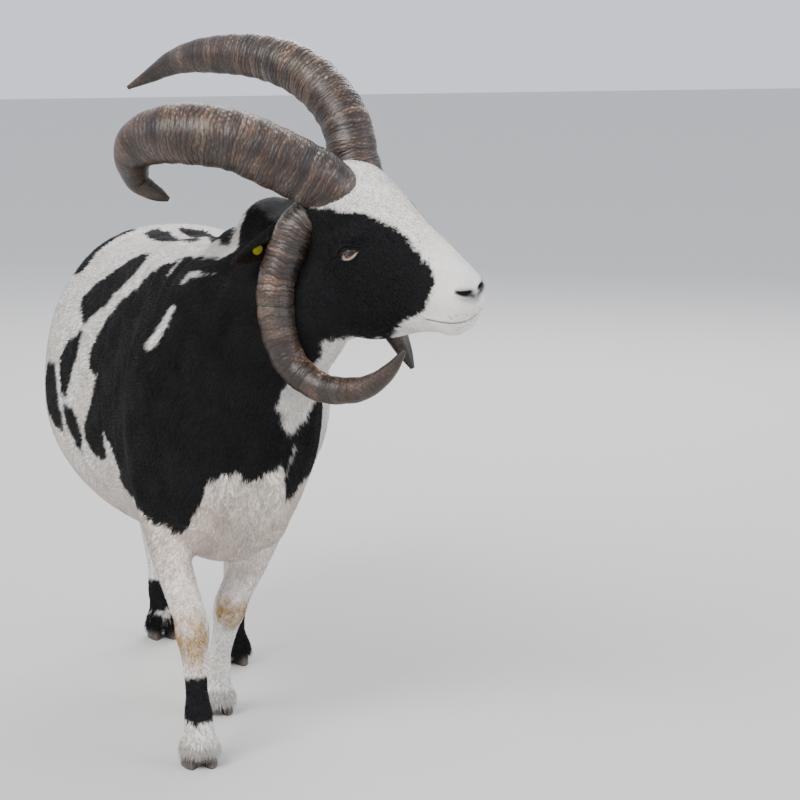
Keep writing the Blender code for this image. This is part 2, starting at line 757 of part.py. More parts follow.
def lid_rim(side):
    """A rim round the eye's opening, lying on the lids."""
    centre = eye_axes(side)[0]
    lift = EYE_RADIUS + 0.0022
    bm = bmesh.new()
    path = [centre + (p - centre).normalized() * lift for p in almond(side, 0.010, LID_RADIUS * 0.7)]
    loops = []
    for k, point in enumerate(path):
        ahead = (path[(k + 1) % len(path)] - path[k - 1]).normalized()
        outward = (point - centre).normalized()
        across = ahead.cross(outward)
        loops.append([bm.verts.new(point + (outward * cos(a) + across * sin(a)) * LID_RADIUS)
                      for a in (2 * pi * j / 6 for j in range(6))])
    for k in range(len(loops)):
        low, high = loops[k - 1], loops[k]
        for j in range(6):
            bm.faces.new((low[j], low[(j + 1) % 6], high[(j + 1) % 6], high[j]))
    return to_mesh(bm, "lid")


def eye_opening(side):
    """What is cut from the lids so that the eye shows."""
    bm = bmesh.new()
    loft(bm, [almond(side, 0.004, 0.0), almond(side, 0.045, 0.004)])
    return to_mesh(bm, "opening")


def mouth_cut():
    """A thin flat band that follows the lips from one corner round the muzzle to the other."""
    frame = head_frame()
    ahead = MOUTH_FRONT - MOUTH_CORNER
    across = Vector((0, 1, 0))
    normal = ahead.normalized().cross(across)
    bm = bmesh.new()
    count = 20
    sections = []
    for k in range(count + 1):
        a = pi * k / count - pi / 2
        edge = Vector((abs(cos(a)) ** 0.75, np.sign(sin(a)) * abs(sin(a)) ** 0.75, 0))
        section = []
        for grow, lift in ((-MOUTH_DEPTH, -1), (0.012, -1), (0.012, 1), (-MOUTH_DEPTH, 1)):
            along = ahead.normalized() * (ahead.length + grow) * edge.x
            sideways = across * (MOUTH_HALF_WIDTH + grow) * edge.y
            point = MOUTH_CORNER + along + sideways + normal * lift * MOUTH_WIDTH / 2
            section.append(bm.verts.new(frame @ point))
        sections.append(section)
    for low, high in zip(sections, sections[1:]):
        for j in range(4):
            bm.faces.new((low[j], low[(j + 1) % 4], high[(j + 1) % 4], high[j]))
    bm.faces.new(sections[0])
    bm.faces.new(sections[-1])
    return to_mesh(bm, "mouth")


def nostril_cut(side):
    """A slanting pit that opens at the front and side of the nose."""
    frame = head_frame()
    turn = Matrix.Rotation(side * radians(-38), 4, "Z") @ Matrix.Rotation(radians(20), 4, "Y")
    at = Matrix.Translation((NOSTRIL.x, side * NOSTRIL.y, NOSTRIL.z))
    bm = bmesh.new()
    bmesh.ops.create_uvsphere(bm, u_segments=12, v_segments=8, radius=1.0,
                              matrix=frame @ at @ turn @ Matrix.Diagonal((*NOSTRIL_SIZE, 1.0)))
    return to_mesh(bm, "nostril")


def finished_head(mesh):
    """The head with its lids, eye sockets, mouth and nostrils."""
    sides = (-1, 1)
    mesh = combine(mesh, [lid_rim(side) for side in sides], "UNION")
    cuts = [mouth_cut()]
    for side in sides:
        cuts += [eyeball(side, GAP), eye_opening(side), nostril_cut(side)]
    return largest_shell(combine(mesh, cuts, "DIFFERENCE"))


def claw(foot, side):
    """One claw of a cloven foot, flat below, its toe to the front."""
    bm = bmesh.new()
    rings = []
    for height in (0.0, 0.4, 1.0):
        length = CLAW_LENGTH * (1 - 0.36 * height)
        width = CLAW_WIDTH * (1 - 0.10 * height)
        lean = 0.004 + 0.008 * height
        middle = Vector((foot[0] + side * CLAW_SPREAD, foot[1] + lean, CLAW_HEIGHT * height))
        points = []
        for k in range(10):
            a = 2 * pi * k / 10
            sideways = width / 2 * sin(a) * (1 - 0.22 * cos(a))
            points.append(middle + Vector((sideways, -length / 2 * cos(a), 0)))
        rings.append(points)
    loft(bm, rings)
    return to_mesh(bm, "claw")


def dewclaw(fetlock, side):
    """A small horny point behind the fetlock."""
    start = Vector(fetlock) + Vector((side * 0.011, 0.012, -0.004))
    down = Vector((side * 0.10, 0.62, -0.78)).normalized()
    bm = bmesh.new()
    rings = []
    for along, radius in ((0.0, 1.0), (0.55, 0.92), (0.85, 0.6), (1.0, 0.2)):
        point = start + down * (DEWCLAW_LENGTH + 0.006) * along
        across = Vector((1, 0, 0))
        rings.append(ring(point, across, across.cross(down).normalized(), DEWCLAW_RADIUS * radius,
                          DEWCLAW_RADIUS * radius, DEWCLAW_RADIUS * radius, count=6))
    loft(bm, rings)
    return to_mesh(bm, "dewclaw")


def part_body(mesh):
    """The body parted into neck, torso, tail and legs by thin flat cuts."""
    slabs = [slab(*LEG_CUTS[name]) for name in LEG_CUTS] + [slab(*NECK_CUT), slab(*TAIL_CUT)]
    pieces = shells_of(combine(mesh, slabs, "DIFFERENCE"))
    named = {}
    for name, near in PIECE_PLACES.items():
        piece = min(pieces, key=lambda m: min((v.co - Vector(near)).length for v in m.vertices))
        named[name] = piece
    return named


def add_trimmed(nodes, name, mesh, around, look):
    """Add a node cut clear of what is round it, and give back a copy of it with some clearance."""
    trimmed = largest_shell(combine(mesh, [other.copy() for other in around], "DIFFERENCE"))
    nodes[name] = (trimmed, look)
    return inflated(trimmed, CLEARANCE)


def add_horns_and_ears(nodes, head_mesh, neck_mesh):
    """Both sides' horns, ears and eyes, each trimmed by those before it."""
    tag, hole = ear_tag()
    for word, side in (("right", -1), ("left", 1)):
        around = [inflated(head_mesh), inflated(neck_mesh, 5 * GAP)]
        upper = "horn_upper_" + word
        lower = "horn_lower_" + word
        around.append(add_trimmed(nodes, upper, horn(HORNS[upper], HORN_SIDES), around, "horn"))
        around.append(add_trimmed(nodes, lower, horn(HORNS[lower], LOWER_HORN_SIDES), around, "horn"))
        if side < 0:
            add_trimmed(nodes, "ear_tag", tag, around, "tag_yellow")
            around.append(hole)
        add_trimmed(nodes, "ear_" + word, ear(side), around, "coat_black")
        nodes["eye_" + word] = (eyeball(side), "eye")


def add_legs(nodes, legs):
    """Each leg with its two dewclaws joined on, and its two claws trimmed by it."""
    for leg_name, points in {**FRONT_LEGS, **HIND_LEGS}.items():
        name = "leg_" + leg_name
        dewclaws = [dewclaw(points[-3], side) for side in (-1, 1)]
        whole = largest_shell(combine(legs[name], dewclaws, "UNION"))
        nodes[name] = (whole, "coat_white")
        for word, side in (("outer", 1), ("inner", -1)):
            add_trimmed(nodes, f"claw_{leg_name}_{word}", claw(points[-1], side), [inflated(whole)], "claw")


def centre_on_floor(group):
    """Move every mesh so that the middle of the whole box is over the origin."""
    points = [v.co for obj in group.objects for v in obj.data.vertices]
    low = Vector([min(p[k] for p in points) for k in range(3)])
    high = Vector([max(p[k] for p in points) for k in range(3)])
    shift = Vector((-(low.x + high.x) / 2, -(low.y + high.y) / 2, -low.z))
    for obj in group.objects:
        obj.data.transform(Matrix.Translation(shift))


def main():
    """Build the flesh, part it, add horns, ears, eyes and claws, and set it on the floor."""
    group = start_clean()
    whole = smoothed_flesh()
    frame = head_frame()
    back = (frame.to_3x3() @ HEAD_CUT_FACES).normalized()
    cut = frame @ HEAD_CUT
    head_mesh = finished_head(half_of(whole, cut - back * GAP / 2, -back, HEAD_TRIANGLES))
    body = part_body(half_of(whole, cut + back * GAP / 2, back, BODY_TRIANGLES))
    nodes = {"head": (head_mesh, "coat_black")}
    nodes["neck"] = (body["neck"], "coat_black")
    nodes["torso"] = (body["torso"], "coat_white")
    nodes["tail"] = (body["tail"], "coat_white")
    add_horns_and_ears(nodes, head_mesh, body["neck"])
    add_legs(nodes, body)
    for name, (mesh, look) in nodes.items():
        add_object(name, mesh, group, look)
    centre_on_floor(group)


main()
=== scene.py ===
# %% [markdown]
# # A four-horned piebald ram, life size
# The ram stands in mid step with its head turned to its left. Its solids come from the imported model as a
# fixed frame. This script lays one skin over the flesh, gives it a short coat in solid tufts, and makes the
# horns, eyes, lids, ears and claws finely. Everything is in metres with +Z up; the ram faces -Y.

from math import atan, cos, pi, radians, sin

import bmesh
import bpy
import numpy as np
from mathutils import Matrix, Vector
from mathutils.bvhtree import BVHTree


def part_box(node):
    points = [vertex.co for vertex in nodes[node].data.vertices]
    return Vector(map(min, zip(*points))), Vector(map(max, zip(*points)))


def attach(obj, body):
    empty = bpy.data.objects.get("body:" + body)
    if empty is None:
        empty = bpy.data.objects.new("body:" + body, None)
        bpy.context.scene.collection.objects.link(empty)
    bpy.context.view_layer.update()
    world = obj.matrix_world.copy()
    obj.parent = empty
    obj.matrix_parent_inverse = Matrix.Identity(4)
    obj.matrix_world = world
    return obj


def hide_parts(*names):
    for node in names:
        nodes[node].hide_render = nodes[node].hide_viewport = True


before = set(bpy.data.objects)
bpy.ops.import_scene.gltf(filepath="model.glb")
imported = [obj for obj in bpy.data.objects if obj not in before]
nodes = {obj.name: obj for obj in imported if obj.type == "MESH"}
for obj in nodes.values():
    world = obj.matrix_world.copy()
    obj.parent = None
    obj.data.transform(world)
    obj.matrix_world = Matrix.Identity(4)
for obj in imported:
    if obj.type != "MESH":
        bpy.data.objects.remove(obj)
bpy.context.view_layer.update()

# %% [markdown]
# The head is turned, dropped and rolled, so its details are easier to place in a frame of its own: X to the
# muzzle, Y to the ram's left, Z to the poll. The eye's own place in the model ties that frame, and the
# animal's frame under its feet, to the model's origin.

# %% The head's frame and the animal's frame
HEAD_PLACE = Vector((0.185, -0.460, 0.778))
HEAD_TURN = radians(-46)
HEAD_DROP = radians(15)
HEAD_ROLL = radians(16)
EYE = Vector((0.000, 0.0560, -0.013))


def middle_of(node):
    """The middle of a node's box."""
    low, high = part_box(node)
    return (Vector(low) + Vector(high)) / 2


head_turned = (
    Matrix.Rotation(HEAD_TURN, 4, "Z")
    @ Matrix.Rotation(HEAD_DROP, 4, "Y")
    @ Matrix.Rotation(HEAD_ROLL, 4, "X")
)
head_at_feet = Matrix.Translation(HEAD_PLACE) @ head_turned
shift = middle_of("eye_right") - head_at_feet @ Vector((EYE.x, -EYE.y, EYE.z))
head_frame = Matrix.Translation(shift) @ head_at_feet
to_head = np.array(head_frame.inverted())
print("animal frame is moved by", tuple(round(c, 4) for c in shift))


def in_head(points):
    """Points of the model given in the head's frame, as rows."""
    return points @ to_head[:3, :3].T + to_head[:3, 3]


def at_feet(points):
    """Points of the model given in the animal's own frame, as rows."""
    return points - np.array(shift)


def turned(x, y, z):
    """A direction of the head's frame, given in the model's frame."""
    return np.array(head_frame.to_3x3() @ Vector((x, y, z)))


def folded(head_points):
    """Places in the head's frame with its right side folded over onto the left."""
    return np.abs(head_points) * (0, 1, 0) + head_points * (1, 0, 1)


# %% [markdown]
# A few short functions serve the whole script. The first ones work on rows of numbers, the next ones read a
# mesh, finish one and show it, and the last ones put nodes into a material.

# %% Rows of numbers
def unit(value):
    """A value held between 0 and 1."""
    return np.clip(value, 0, 1)


def norms(rows):
    """The length of each row."""
    return np.linalg.norm(rows, axis=1)


def unit_rows(rows):
    """Rows brought to length 1."""
    return rows / np.maximum(norms(rows), 1e-9)[:, None]


def bell(value, middle, width):
    """1 at the middle, and smoothly down to 0 on both sides of it."""
    return np.exp(-(((value - middle) / width) ** 2))


def along_skin(ways, normals):
    """Ways laid flat on the surface, at length 1."""
    return unit_rows(ways - normals * (ways * normals).sum(axis=1)[:, None])


# %% Meshes and objects
def rows_of(items, name, width=1, kind=np.float32):
    """One property of many items of a mesh, with a row for each item."""
    flat = np.empty(len(items) * width, dtype=kind)
    items.foreach_get(name, flat)
    flat = flat.astype(float if kind is np.float32 else int)
    return flat.reshape(-1, width) if width > 1 else flat


def coordinates(mesh):
    """The places of a mesh's vertices."""
    return rows_of(mesh.vertices, "co", 3)


def normals_of(mesh):
    """The normals of a mesh's vertices."""
    return rows_of(mesh.vertex_normals, "vector", 3)


def move_vertices(mesh, spots):
    """Put a mesh's vertices at new places."""
    mesh.vertices.foreach_set("co", spots.astype(np.float32).ravel())
    mesh.update()


def paint_points(mesh, colours):
    """Store a colour for each vertex as the attribute 'coat'."""
    layer = mesh.attributes.new("coat", "FLOAT_COLOR", "POINT")
    rows = np.ones((len(colours), 4), dtype=np.float32)
    rows[:, :3] = colours
    layer.data.foreach_set("color", rows.ravel())


def mesh_from(bm, name):
    """A mesh made from a working copy, which goes."""
    mesh = bpy.data.meshes.new(name)
    bm.to_mesh(mesh)
    bm.free()
    return mesh


def link(obj):
    """Show an object in the scene."""
    bpy.context.scene.collection.objects.link(obj)
    return obj


def shown(name, mesh, material):
    """Show a mesh as a smooth object of one material."""
    mesh.name = name
    mesh.materials.clear()
    mesh.materials.append(material)
    mesh.shade_smooth()
    return link(bpy.data.objects.new(name, mesh))


def applied(obj):
    """The mesh of an object with its modifiers applied; the object goes."""
    bpy.context.view_layer.update()
    graph = bpy.context.evaluated_depsgraph_get()
    mesh = bpy.data.meshes.new_from_object(obj.evaluated_get(graph), depsgraph=graph)
    bpy.data.objects.remove(obj, do_unlink=True)
    return mesh


# %% Materials and their nodes
def principled(name, colour, roughness, more=()):
    """A material with its Principled shader, whose colour, roughness and further inputs are set."""
    material = bpy.data.materials.new(name)
    material.use_nodes = True
    shader = material.node_tree.nodes["Principled BSDF"]
    for key, value in {"Base Color": (*colour, 1.0), "Roughness": roughness, **dict(more)}.items():
        shader.inputs[key].default_value = value
    return material, material.node_tree, shader


def add(tree, kind, sockets, **settings):
    """A node with its settings; each socket takes a constant or the output of another node."""
    node = tree.nodes.new("ShaderNode" + kind)
    for key, value in settings.items():
        setattr(node, key, value)
    for key, value in sockets.items():
        if isinstance(value, bpy.types.NodeSocket):
            tree.links.new(value, node.inputs[key])
        else:
            node.inputs[key].default_value = value
    return node


def place_on(tree):
    """The place on the object that is being shaded."""
    return add(tree, "TexCoord", {}).outputs["Object"]


def noise(tree, vector, scale, detail=2, roughness=0.5):
    """A noise texture over a vector."""
    return add(tree, "TexNoise", {"Vector": vector, "Scale": scale, "Detail": detail, "Roughness": roughness})


def math_node(tree, operation, *values):
    """The output of a Math node on sockets or numbers."""
    return add(tree, "Math", dict(enumerate(values)), operation=operation).outputs[0]


def colour_ramp(tree, factor, *stops):
    """A colour ramp, from stops that each give a position and a colour."""
    node = add(tree, "ValToRGB", {"Fac": factor})
    elements = node.color_ramp.elements
    for element, (position, colour) in zip(elements[:], (stops[0], stops[-1])):
        element.position = position
        element.color = (*colour, 1)
    for position, colour in stops[1:-1]:
        elements.new(position).color = (*colour, 1)
    return node.outputs["Color"]


def blended(tree, kind, amount, first, second):
    """Two colours brought together by a blend of the given kind."""
    sockets = {"Factor": amount, "A": first, "B": second}
    return add(tree, "Mix", sockets, data_type="RGBA", blend_type=kind).outputs["Result"]


def bumped(tree, shader, height, strength, distance):
    """Raise the shaded surface slightly by a height."""
    bump = add(tree, "Bump", {"Strength": strength, "Distance": distance, "Height": height})
    tree.links.new(bump.outputs["Normal"], shader.inputs["Normal"])


# %% [markdown]
# The camera stands in front of the ram's right shoulder, a little above its horns, and looks slightly down
# through a long lens, so lines far and near stay almost parallel.

# %% Camera
LENS = 135
SENSOR = 36
CAMERA_PLACE = Vector((-0.65121698, -4.55732646, 1.24))
CAMERA_TURN = radians(12)
CAMERA_PITCH = atan(506 / 3000)
camera_data = bpy.data.cameras.new("camera")
camera_data.lens = LENS
camera_data.sensor_width = SENSOR
camera = link(bpy.data.objects.new("camera", camera_data))
level_look = cos(CAMERA_PITCH)
look = Vector((sin(CAMERA_TURN) * level_look, cos(CAMERA_TURN) * level_look, -sin(CAMERA_PITCH)))
camera.location = CAMERA_PLACE + shift
camera.rotation_mode = "QUATERNION"
camera.rotation_quaternion = look.to_track_quat("-Z", "Y")
bpy.context.scene.camera = camera

# %% [markdown]
# The stage is a plain pale floor under soft light: one big lamp high on the left for shape, a weaker one on
# the right, one behind for the rim of the coat, and an even pale sky.

# %% Floor and lights
FLOOR_SIZE = 14
SKY_COLOUR = (0.86, 0.90, 1.0, 1.0)
SKY_STRENGTH = 1.12
LIT_PLACE = Vector((0, 0, 0.5))

floor_bm = bmesh.new()
bmesh.ops.create_grid(floor_bm, x_segments=2, y_segments=2, size=FLOOR_SIZE)
floor_mesh = mesh_from(floor_bm, "floor")
floor = link(bpy.data.objects.new("floor", floor_mesh))
floor_mesh.materials.append(principled("pale_floor", (0.62, 0.61, 0.59), 0.8)[0])

world = bpy.data.worlds.new("sky")
bpy.context.scene.world = world
world.use_nodes = True
world.node_tree.nodes["Background"].inputs["Color"].default_value = SKY_COLOUR
world.node_tree.nodes["Background"].inputs["Strength"].default_value = SKY_STRENGTH


def lamp(name, place, size, power, colour):
    """A square area lamp that faces the ram's middle."""
    data = bpy.data.lights.new(name, "AREA")
    data.size = size
    data.energy = power
    data.color = colour
    obj = link(bpy.data.objects.new(name, data))
    obj.location = place
    obj.rotation_mode = "QUATERNION"
    obj.rotation_quaternion = (LIT_PLACE - obj.location).to_track_quat("-Z", "Y")


lamp("key", Vector((-2.6, -2.6, 3.6)), 2.2, 230, (1.0, 0.97, 0.92))
lamp("fill", Vector((3.2, -2.4, 1.8)), 2.6, 55, (0.93, 0.96, 1.0))
lamp("rim", Vector((1.5, 3.4, 2.8)), 2.2, 120, (1.0, 0.98, 0.95))

# %% [markdown]
# The coat is piebald. A patch is painted as a chain of points with a reach round it, or as an edge that runs
# over the body, and each edge is roughened by waves of several sizes so that it breaks up as hair does. The
# same function colours the skin and every tuft of the coat, so the two always agree, from any side.

# %% Colours of the coat
BLACK = np.array((0.0042, 0.0042, 0.0050))
WHITE = np.array((0.84, 0.81, 0.775))
CREAM = np.array((0.80, 0.68, 0.55))
PINK = np.array((0.80, 0.66, 0.58))
TAN = np.array((0.40, 0.265, 0.115))
GREY = np.array((0.16, 0.155, 0.15))
MOUTH = np.array((0.12, 0.085, 0.08))

WAVE_COUNT = 7
WAVE_DIVISOR = 3.2
FAR_AWAY = 9.0
TINY = 1e-12
wave_random = np.random.default_rng(11)
WAVE_WAYS = unit_rows(wave_random.normal(size=(WAVE_COUNT, 3)))
WAVE_STARTS = wave_random.uniform(0, 2 * pi, WAVE_COUNT)


def waves(points, length):
    """A smooth value from about -1 to 1 that varies over the given length."""
    total = np.zeros(len(points))
    for k, (way, start) in enumerate(zip(WAVE_WAYS, WAVE_STARTS)):
        total += np.sin(points @ way * (2 * pi / length) * (0.8 + 0.11 * k) + start)
    return total / WAVE_DIVISOR


def reach(points, chain):
    """Distance from each point to a chain of straight pieces."""
    best = np.full(len(points), FAR_AWAY)
    chain = [np.array(c, float) for c in chain]
    for a, b in zip(chain, chain[1:] or chain):
        along = b - a
        length = max(float(along @ along), TINY)
        t = unit((points - a) @ along / length)
        best = np.minimum(best, norms(points - a - t[:, None] * along))
    return best


# %% [markdown]
# The patches of the trunk are outlines drawn on the body itself. To compare places with them, the trunk is
# unrolled: how far along the body, and how far round it from the middle of the back. A signed distance to
# the outline then says how deep inside a patch a place lies.

# %% Outlines on the unrolled trunk
ROLL_HEIGHT = 0.49
ROLL_RADIUS = 0.20
ROLL_LOWEST = -0.16
OVAL_CORNERS = 12


def unrolled(p):
    """Along the body and round it, from the middle of the back, positive on the right side."""
    round_it = np.arctan2(-p[:, 0], np.maximum(p[:, 2] - ROLL_HEIGHT, ROLL_LOWEST)) * ROLL_RADIUS
    return np.stack([p[:, 1], round_it], axis=1)


def depth_inside(flat, outline):
    """Signed distance of flat places to a closed outline, positive inside it."""
    nearest = reach(flat, [*outline, outline[0]])
    inside = np.zeros(len(flat), bool)
    for a, b in zip(outline, np.roll(outline, -1, axis=0)):
        crosses = (a[1] > flat[:, 1]) != (b[1] > flat[:, 1])
        rise = b[1] - a[1] if abs(b[1] - a[1]) > TINY else TINY
        at = a[0] + (flat[:, 1] - a[1]) / rise * (b[0] - a[0])
        inside ^= crosses & (flat[:, 0] < at)
    return np.where(inside, nearest, -nearest)


def on_trunk(*corners):
    """An outline on the unrolled trunk from corners in the animal's frame."""
    return unrolled(np.array(corners, float))


def oval(middle, half_along, half_round, lean=0.0):
    """A ragged oval on the unrolled trunk round a place in the animal's frame."""
    centre = on_trunk(middle)[0]
    corners = []
    for k in range(OVAL_CORNERS):
        angle = 2 * pi * k / OVAL_CORNERS
        along = half_along * cos(angle)
        corners.append(centre + (along, half_round * sin(angle) + lean * along))
    return np.array(corners)


BLACK_PATCHES = [
    on_trunk(
        (-0.087, -0.100, 0.708), (-0.104, -0.118, 0.693), (-0.120, -0.110, 0.674), (-0.136, -0.089, 0.653),
        (-0.152, -0.065, 0.631), (-0.170, -0.028, 0.608), (-0.181, -0.004, 0.593), (-0.180, 0.012, 0.600),
        (-0.178, 0.046, 0.618), (-0.172, 0.045, 0.629), (-0.154, 0.023, 0.652), (-0.128, -0.003, 0.676),
        (-0.099, -0.024, 0.698), (-0.085, -0.060, 0.706),
    ),
    on_trunk(
        (-0.187, 0.001, 0.580), (-0.204, 0.044, 0.555), (-0.212, 0.061, 0.530), (-0.215, 0.056, 0.509),
        (-0.213, 0.042, 0.475), (-0.208, 0.019, 0.474), (-0.202, 0.005, 0.503), (-0.195, -0.007, 0.530),
        (-0.189, -0.013, 0.556), (-0.184, -0.011, 0.580),
    ),
    on_trunk(
        (-0.218, 0.077, 0.512), (-0.217, 0.063, 0.488), (-0.216, 0.050, 0.464), (-0.213, 0.037, 0.441),
        (-0.212, 0.036, 0.418), (-0.215, 0.080, 0.416), (-0.220, 0.150, 0.440), (-0.222, 0.178, 0.480),
        (-0.220, 0.135, 0.520),
    ),
    on_trunk(
        (-0.211, 0.030, 0.461), (-0.210, 0.024, 0.443), (-0.204, 0.011, 0.419), (-0.196, -0.001, 0.402),
        (-0.189, -0.017, 0.390), (-0.189, -0.030, 0.413), (-0.192, -0.031, 0.436), (-0.195, -0.023, 0.451),
        (-0.201, -0.005, 0.466),
    ),
    on_trunk(
        (-0.062, 0.262, 0.706), (-0.098, 0.246, 0.695), (-0.127, 0.220, 0.680), (-0.149, 0.180, 0.664),
        (-0.164, 0.166, 0.650), (-0.172, 0.215, 0.640), (-0.150, 0.285, 0.655), (-0.110, 0.325, 0.685),
        (-0.065, 0.320, 0.700),
    ),
    on_trunk(
        (-0.060, 0.215, 0.707), (-0.052, 0.130, 0.708), (-0.046, 0.020, 0.712), (-0.046, -0.060, 0.722),
        (-0.034, -0.150, 0.734), (-0.022, -0.150, 0.735), (-0.018, -0.060, 0.727), (-0.020, 0.060, 0.712),
        (-0.014, 0.150, 0.709), (-0.030, 0.235, 0.709),
    ),
    on_trunk(
        (-0.004, 0.240, 0.710), (0.004, 0.120, 0.710), (0.006, -0.020, 0.724), (-0.004, -0.160, 0.737),
        (-0.006, -0.270, 0.745), (0.006, -0.300, 0.742), (0.024, -0.210, 0.735), (0.040, -0.080, 0.722),
        (0.050, 0.080, 0.706), (0.040, 0.200, 0.707),
    ),
    oval((-0.195, 0.250, 0.530), 0.040, 0.062, 0.3),
    oval((-0.150, 0.370, 0.480), 0.026, 0.040, 0.4),
    oval((-0.075, 0.425, 0.600), 0.020, 0.032),
    oval((0.100, 0.400, 0.620), 0.030, 0.050, 0.4),
    oval((0.150, 0.270, 0.660), 0.050, 0.034, -0.3),
    oval((0.215, 0.230, 0.520), 0.034, 0.060, -0.2),
    oval((0.225, 0.090, 0.450), 0.030, 0.052, 0.2),
    oval((0.200, 0.030, 0.590), 0.042, 0.070, 0.3),
    oval((0.120, -0.020, 0.690), 0.060, 0.026, -0.2),
    oval((0.160, 0.350, 0.440), 0.030, 0.044, 0.1),
]
SADDLE = on_trunk(
    (0.060, -0.900, 0.650), (-0.060, -0.900, 0.650), (-0.200, -0.900, 0.300), (-0.110, -0.262, 0.290),
    (-0.125, -0.200, 0.334), (-0.133, -0.159, 0.353), (-0.144, -0.145, 0.370), (-0.148, -0.158, 0.391),
    (-0.163, -0.140, 0.423), (-0.168, -0.115, 0.444), (-0.163, -0.119, 0.423), (-0.160, -0.119, 0.401),
    (-0.166, -0.091, 0.394), (-0.178, -0.057, 0.402), (-0.186, -0.044, 0.422), (-0.187, -0.050, 0.448),
    (-0.181, -0.068, 0.477), (-0.177, -0.079, 0.503), (-0.172, -0.092, 0.524), (-0.179, -0.061, 0.532),
    (-0.178, -0.054, 0.556), (-0.166, -0.073, 0.586), (-0.151, -0.097, 0.617), (-0.135, -0.124, 0.644),
    (-0.122, -0.152, 0.661), (-0.093, -0.175, 0.694), (-0.067, -0.205, 0.708), (-0.046, -0.215, 0.718),
    (-0.027, -0.285, 0.723), (-0.010, -0.325, 0.728), (0.016, -0.330, 0.735), (0.036, -0.290, 0.730),
    (0.062, -0.245, 0.715), (0.105, -0.215, 0.690), (0.150, -0.150, 0.640), (0.172, -0.120, 0.590),
    (0.178, -0.160, 0.540), (0.172, -0.200, 0.480), (0.165, -0.190, 0.430), (0.150, -0.240, 0.390),
    (0.120, -0.280, 0.340), (0.200, -0.900, 0.300),
)
WHITE_STREAKS = [
    (
        0.0075,
        [(-0.083, -0.308, 0.656), (-0.092, -0.305, 0.635), (-0.102, -0.299, 0.620), (-0.111, -0.298, 0.600)],
    ),
    (0.0055, [(-0.053, -0.201, 0.719), (-0.063, -0.222, 0.707), (-0.077, -0.231, 0.693)]),
    (0.0050, [(-0.064, -0.297, 0.692), (-0.053, -0.299, 0.702), (-0.039, -0.321, 0.706)]),
    (0.0022, [(-0.039, -0.321, 0.706), (-0.020, -0.343, 0.710)]),
    (0.0040, [(0.090, -0.347, 0.448), (0.083, -0.354, 0.434), (0.076, -0.361, 0.416)]),
]
# Seen from the front: the throat's white, as distance across and height
THROAT = np.array([
    (0.126, 0.665), (0.114, 0.624), (0.110, 0.610), (0.102, 0.592), (0.080, 0.565), (0.058, 0.546),
    (0.052, 0.520), (0.063, 0.496), (0.079, 0.471), (0.103, 0.487), (0.118, 0.509), (0.138, 0.540),
    (0.165, 0.580), (0.205, 0.650), (0.170, 0.690),
])
JAW_HEIGHT = 0.620
# The saddle's lower edge across the chest: distance across, height
CHEST_ACROSS = [
    -0.160, -0.129, -0.113, -0.093, -0.077, -0.067, -0.062, -0.050, -0.045, -0.027, -0.003, 0.011, 0.029,
    0.048, 0.0685, 0.0715, 0.089, 0.123, 0.160,
]
CHEST_EDGE = [
    0.350, 0.348, 0.339, 0.330, 0.326, 0.342, 0.361, 0.385, 0.406, 0.420, 0.424, 0.411, 0.417,
    0.422, 0.424, 0.374, 0.381, 0.399, 0.420,
]
# The cheek patch's front edge: height in the head, distance along X
CHEEK_HEIGHTS = [
    -0.160, -0.146, -0.120, -0.102, -0.085, -0.069, -0.047, -0.024, -0.010, 0.006, 0.017, 0.027, 0.034,
    0.040, 0.045, 0.048,
]
CHEEK_EDGE = [
    0.045, 0.052, 0.071, 0.082, 0.105, 0.118, 0.127, 0.129, 0.123, 0.107, 0.089, 0.067, 0.049,
    0.031, 0.010, -0.018,
]
BLAZE_HALF = 0.0255
MOUTH_CORNER = np.array((0.116, 0.0, -0.087))
MOUTH_AHEAD = np.array((0.9818, 0.0, 0.1905))
MOUTH_NORMAL = np.array((-0.1905, 0.0, 0.9818))
NOSTRIL = np.array((0.1755, 0.0180, -0.0318))
NOSTRIL_SLANT = 0.12
NOSTRIL_LONG = 0.0110
NOSTRIL_HIGH = 0.0038
NOSE_PAD = [(0.171, 0.027, -0.028), (0.178, 0.009, -0.037), (0.180, 0.0, -0.043)]
DEWCLAWS = [(-0.066, -0.376, 0.064), (0.001, -0.124, 0.064), (-0.018, 0.394, 0.072), (0.074, 0.198, 0.072)]


def mix(colours, paint, amount):
    """Lay a paint over colours by an amount for each row."""
    amount = unit(amount)[:, None]
    return colours * (1 - amount) + paint * amount


def edge(inside, soft=0.0022):
    """An amount from 0 to 1 across an edge, from a distance that is positive inside."""
    return unit(0.5 + inside / (2 * soft))


def mouth_place(head_points):
    """Height above the mouth line and distance ahead of its corner."""
    away = head_points - MOUTH_CORNER
    return away @ MOUTH_NORMAL, away @ MOUTH_AHEAD


def nostril_pit(nose):
    """1 on the rim of the nostril's slanting slit, less inside, from places relative to its middle."""
    slant = nose[:, 2] - NOSTRIL_SLANT * nose[:, 1]
    return np.sqrt((nose[:, 1] / NOSTRIL_LONG) ** 2 + (slant / NOSTRIL_HIGH) ** 2)


# %% Where the coat is black
TRUNK_BOTTOM = 0.33
CHEST_BEHIND = -0.235
THROAT_BEHIND = -0.30
CHEEK_BOTTOM = -0.09
POLL_TOP = 0.050
POLL_FRONT = -0.068
SPIKE_LENGTH = 0.0052
SPIKE_SIZE = 0.0022


def throat_white(p):
    """How deep inside the throat's white each point lies."""
    deep = np.minimum(depth_inside(p[:, [0, 2]], THROAT), JAW_HEIGHT - p[:, 2])
    return np.where(p[:, 1] < THROAT_BEHIND, deep, -1)


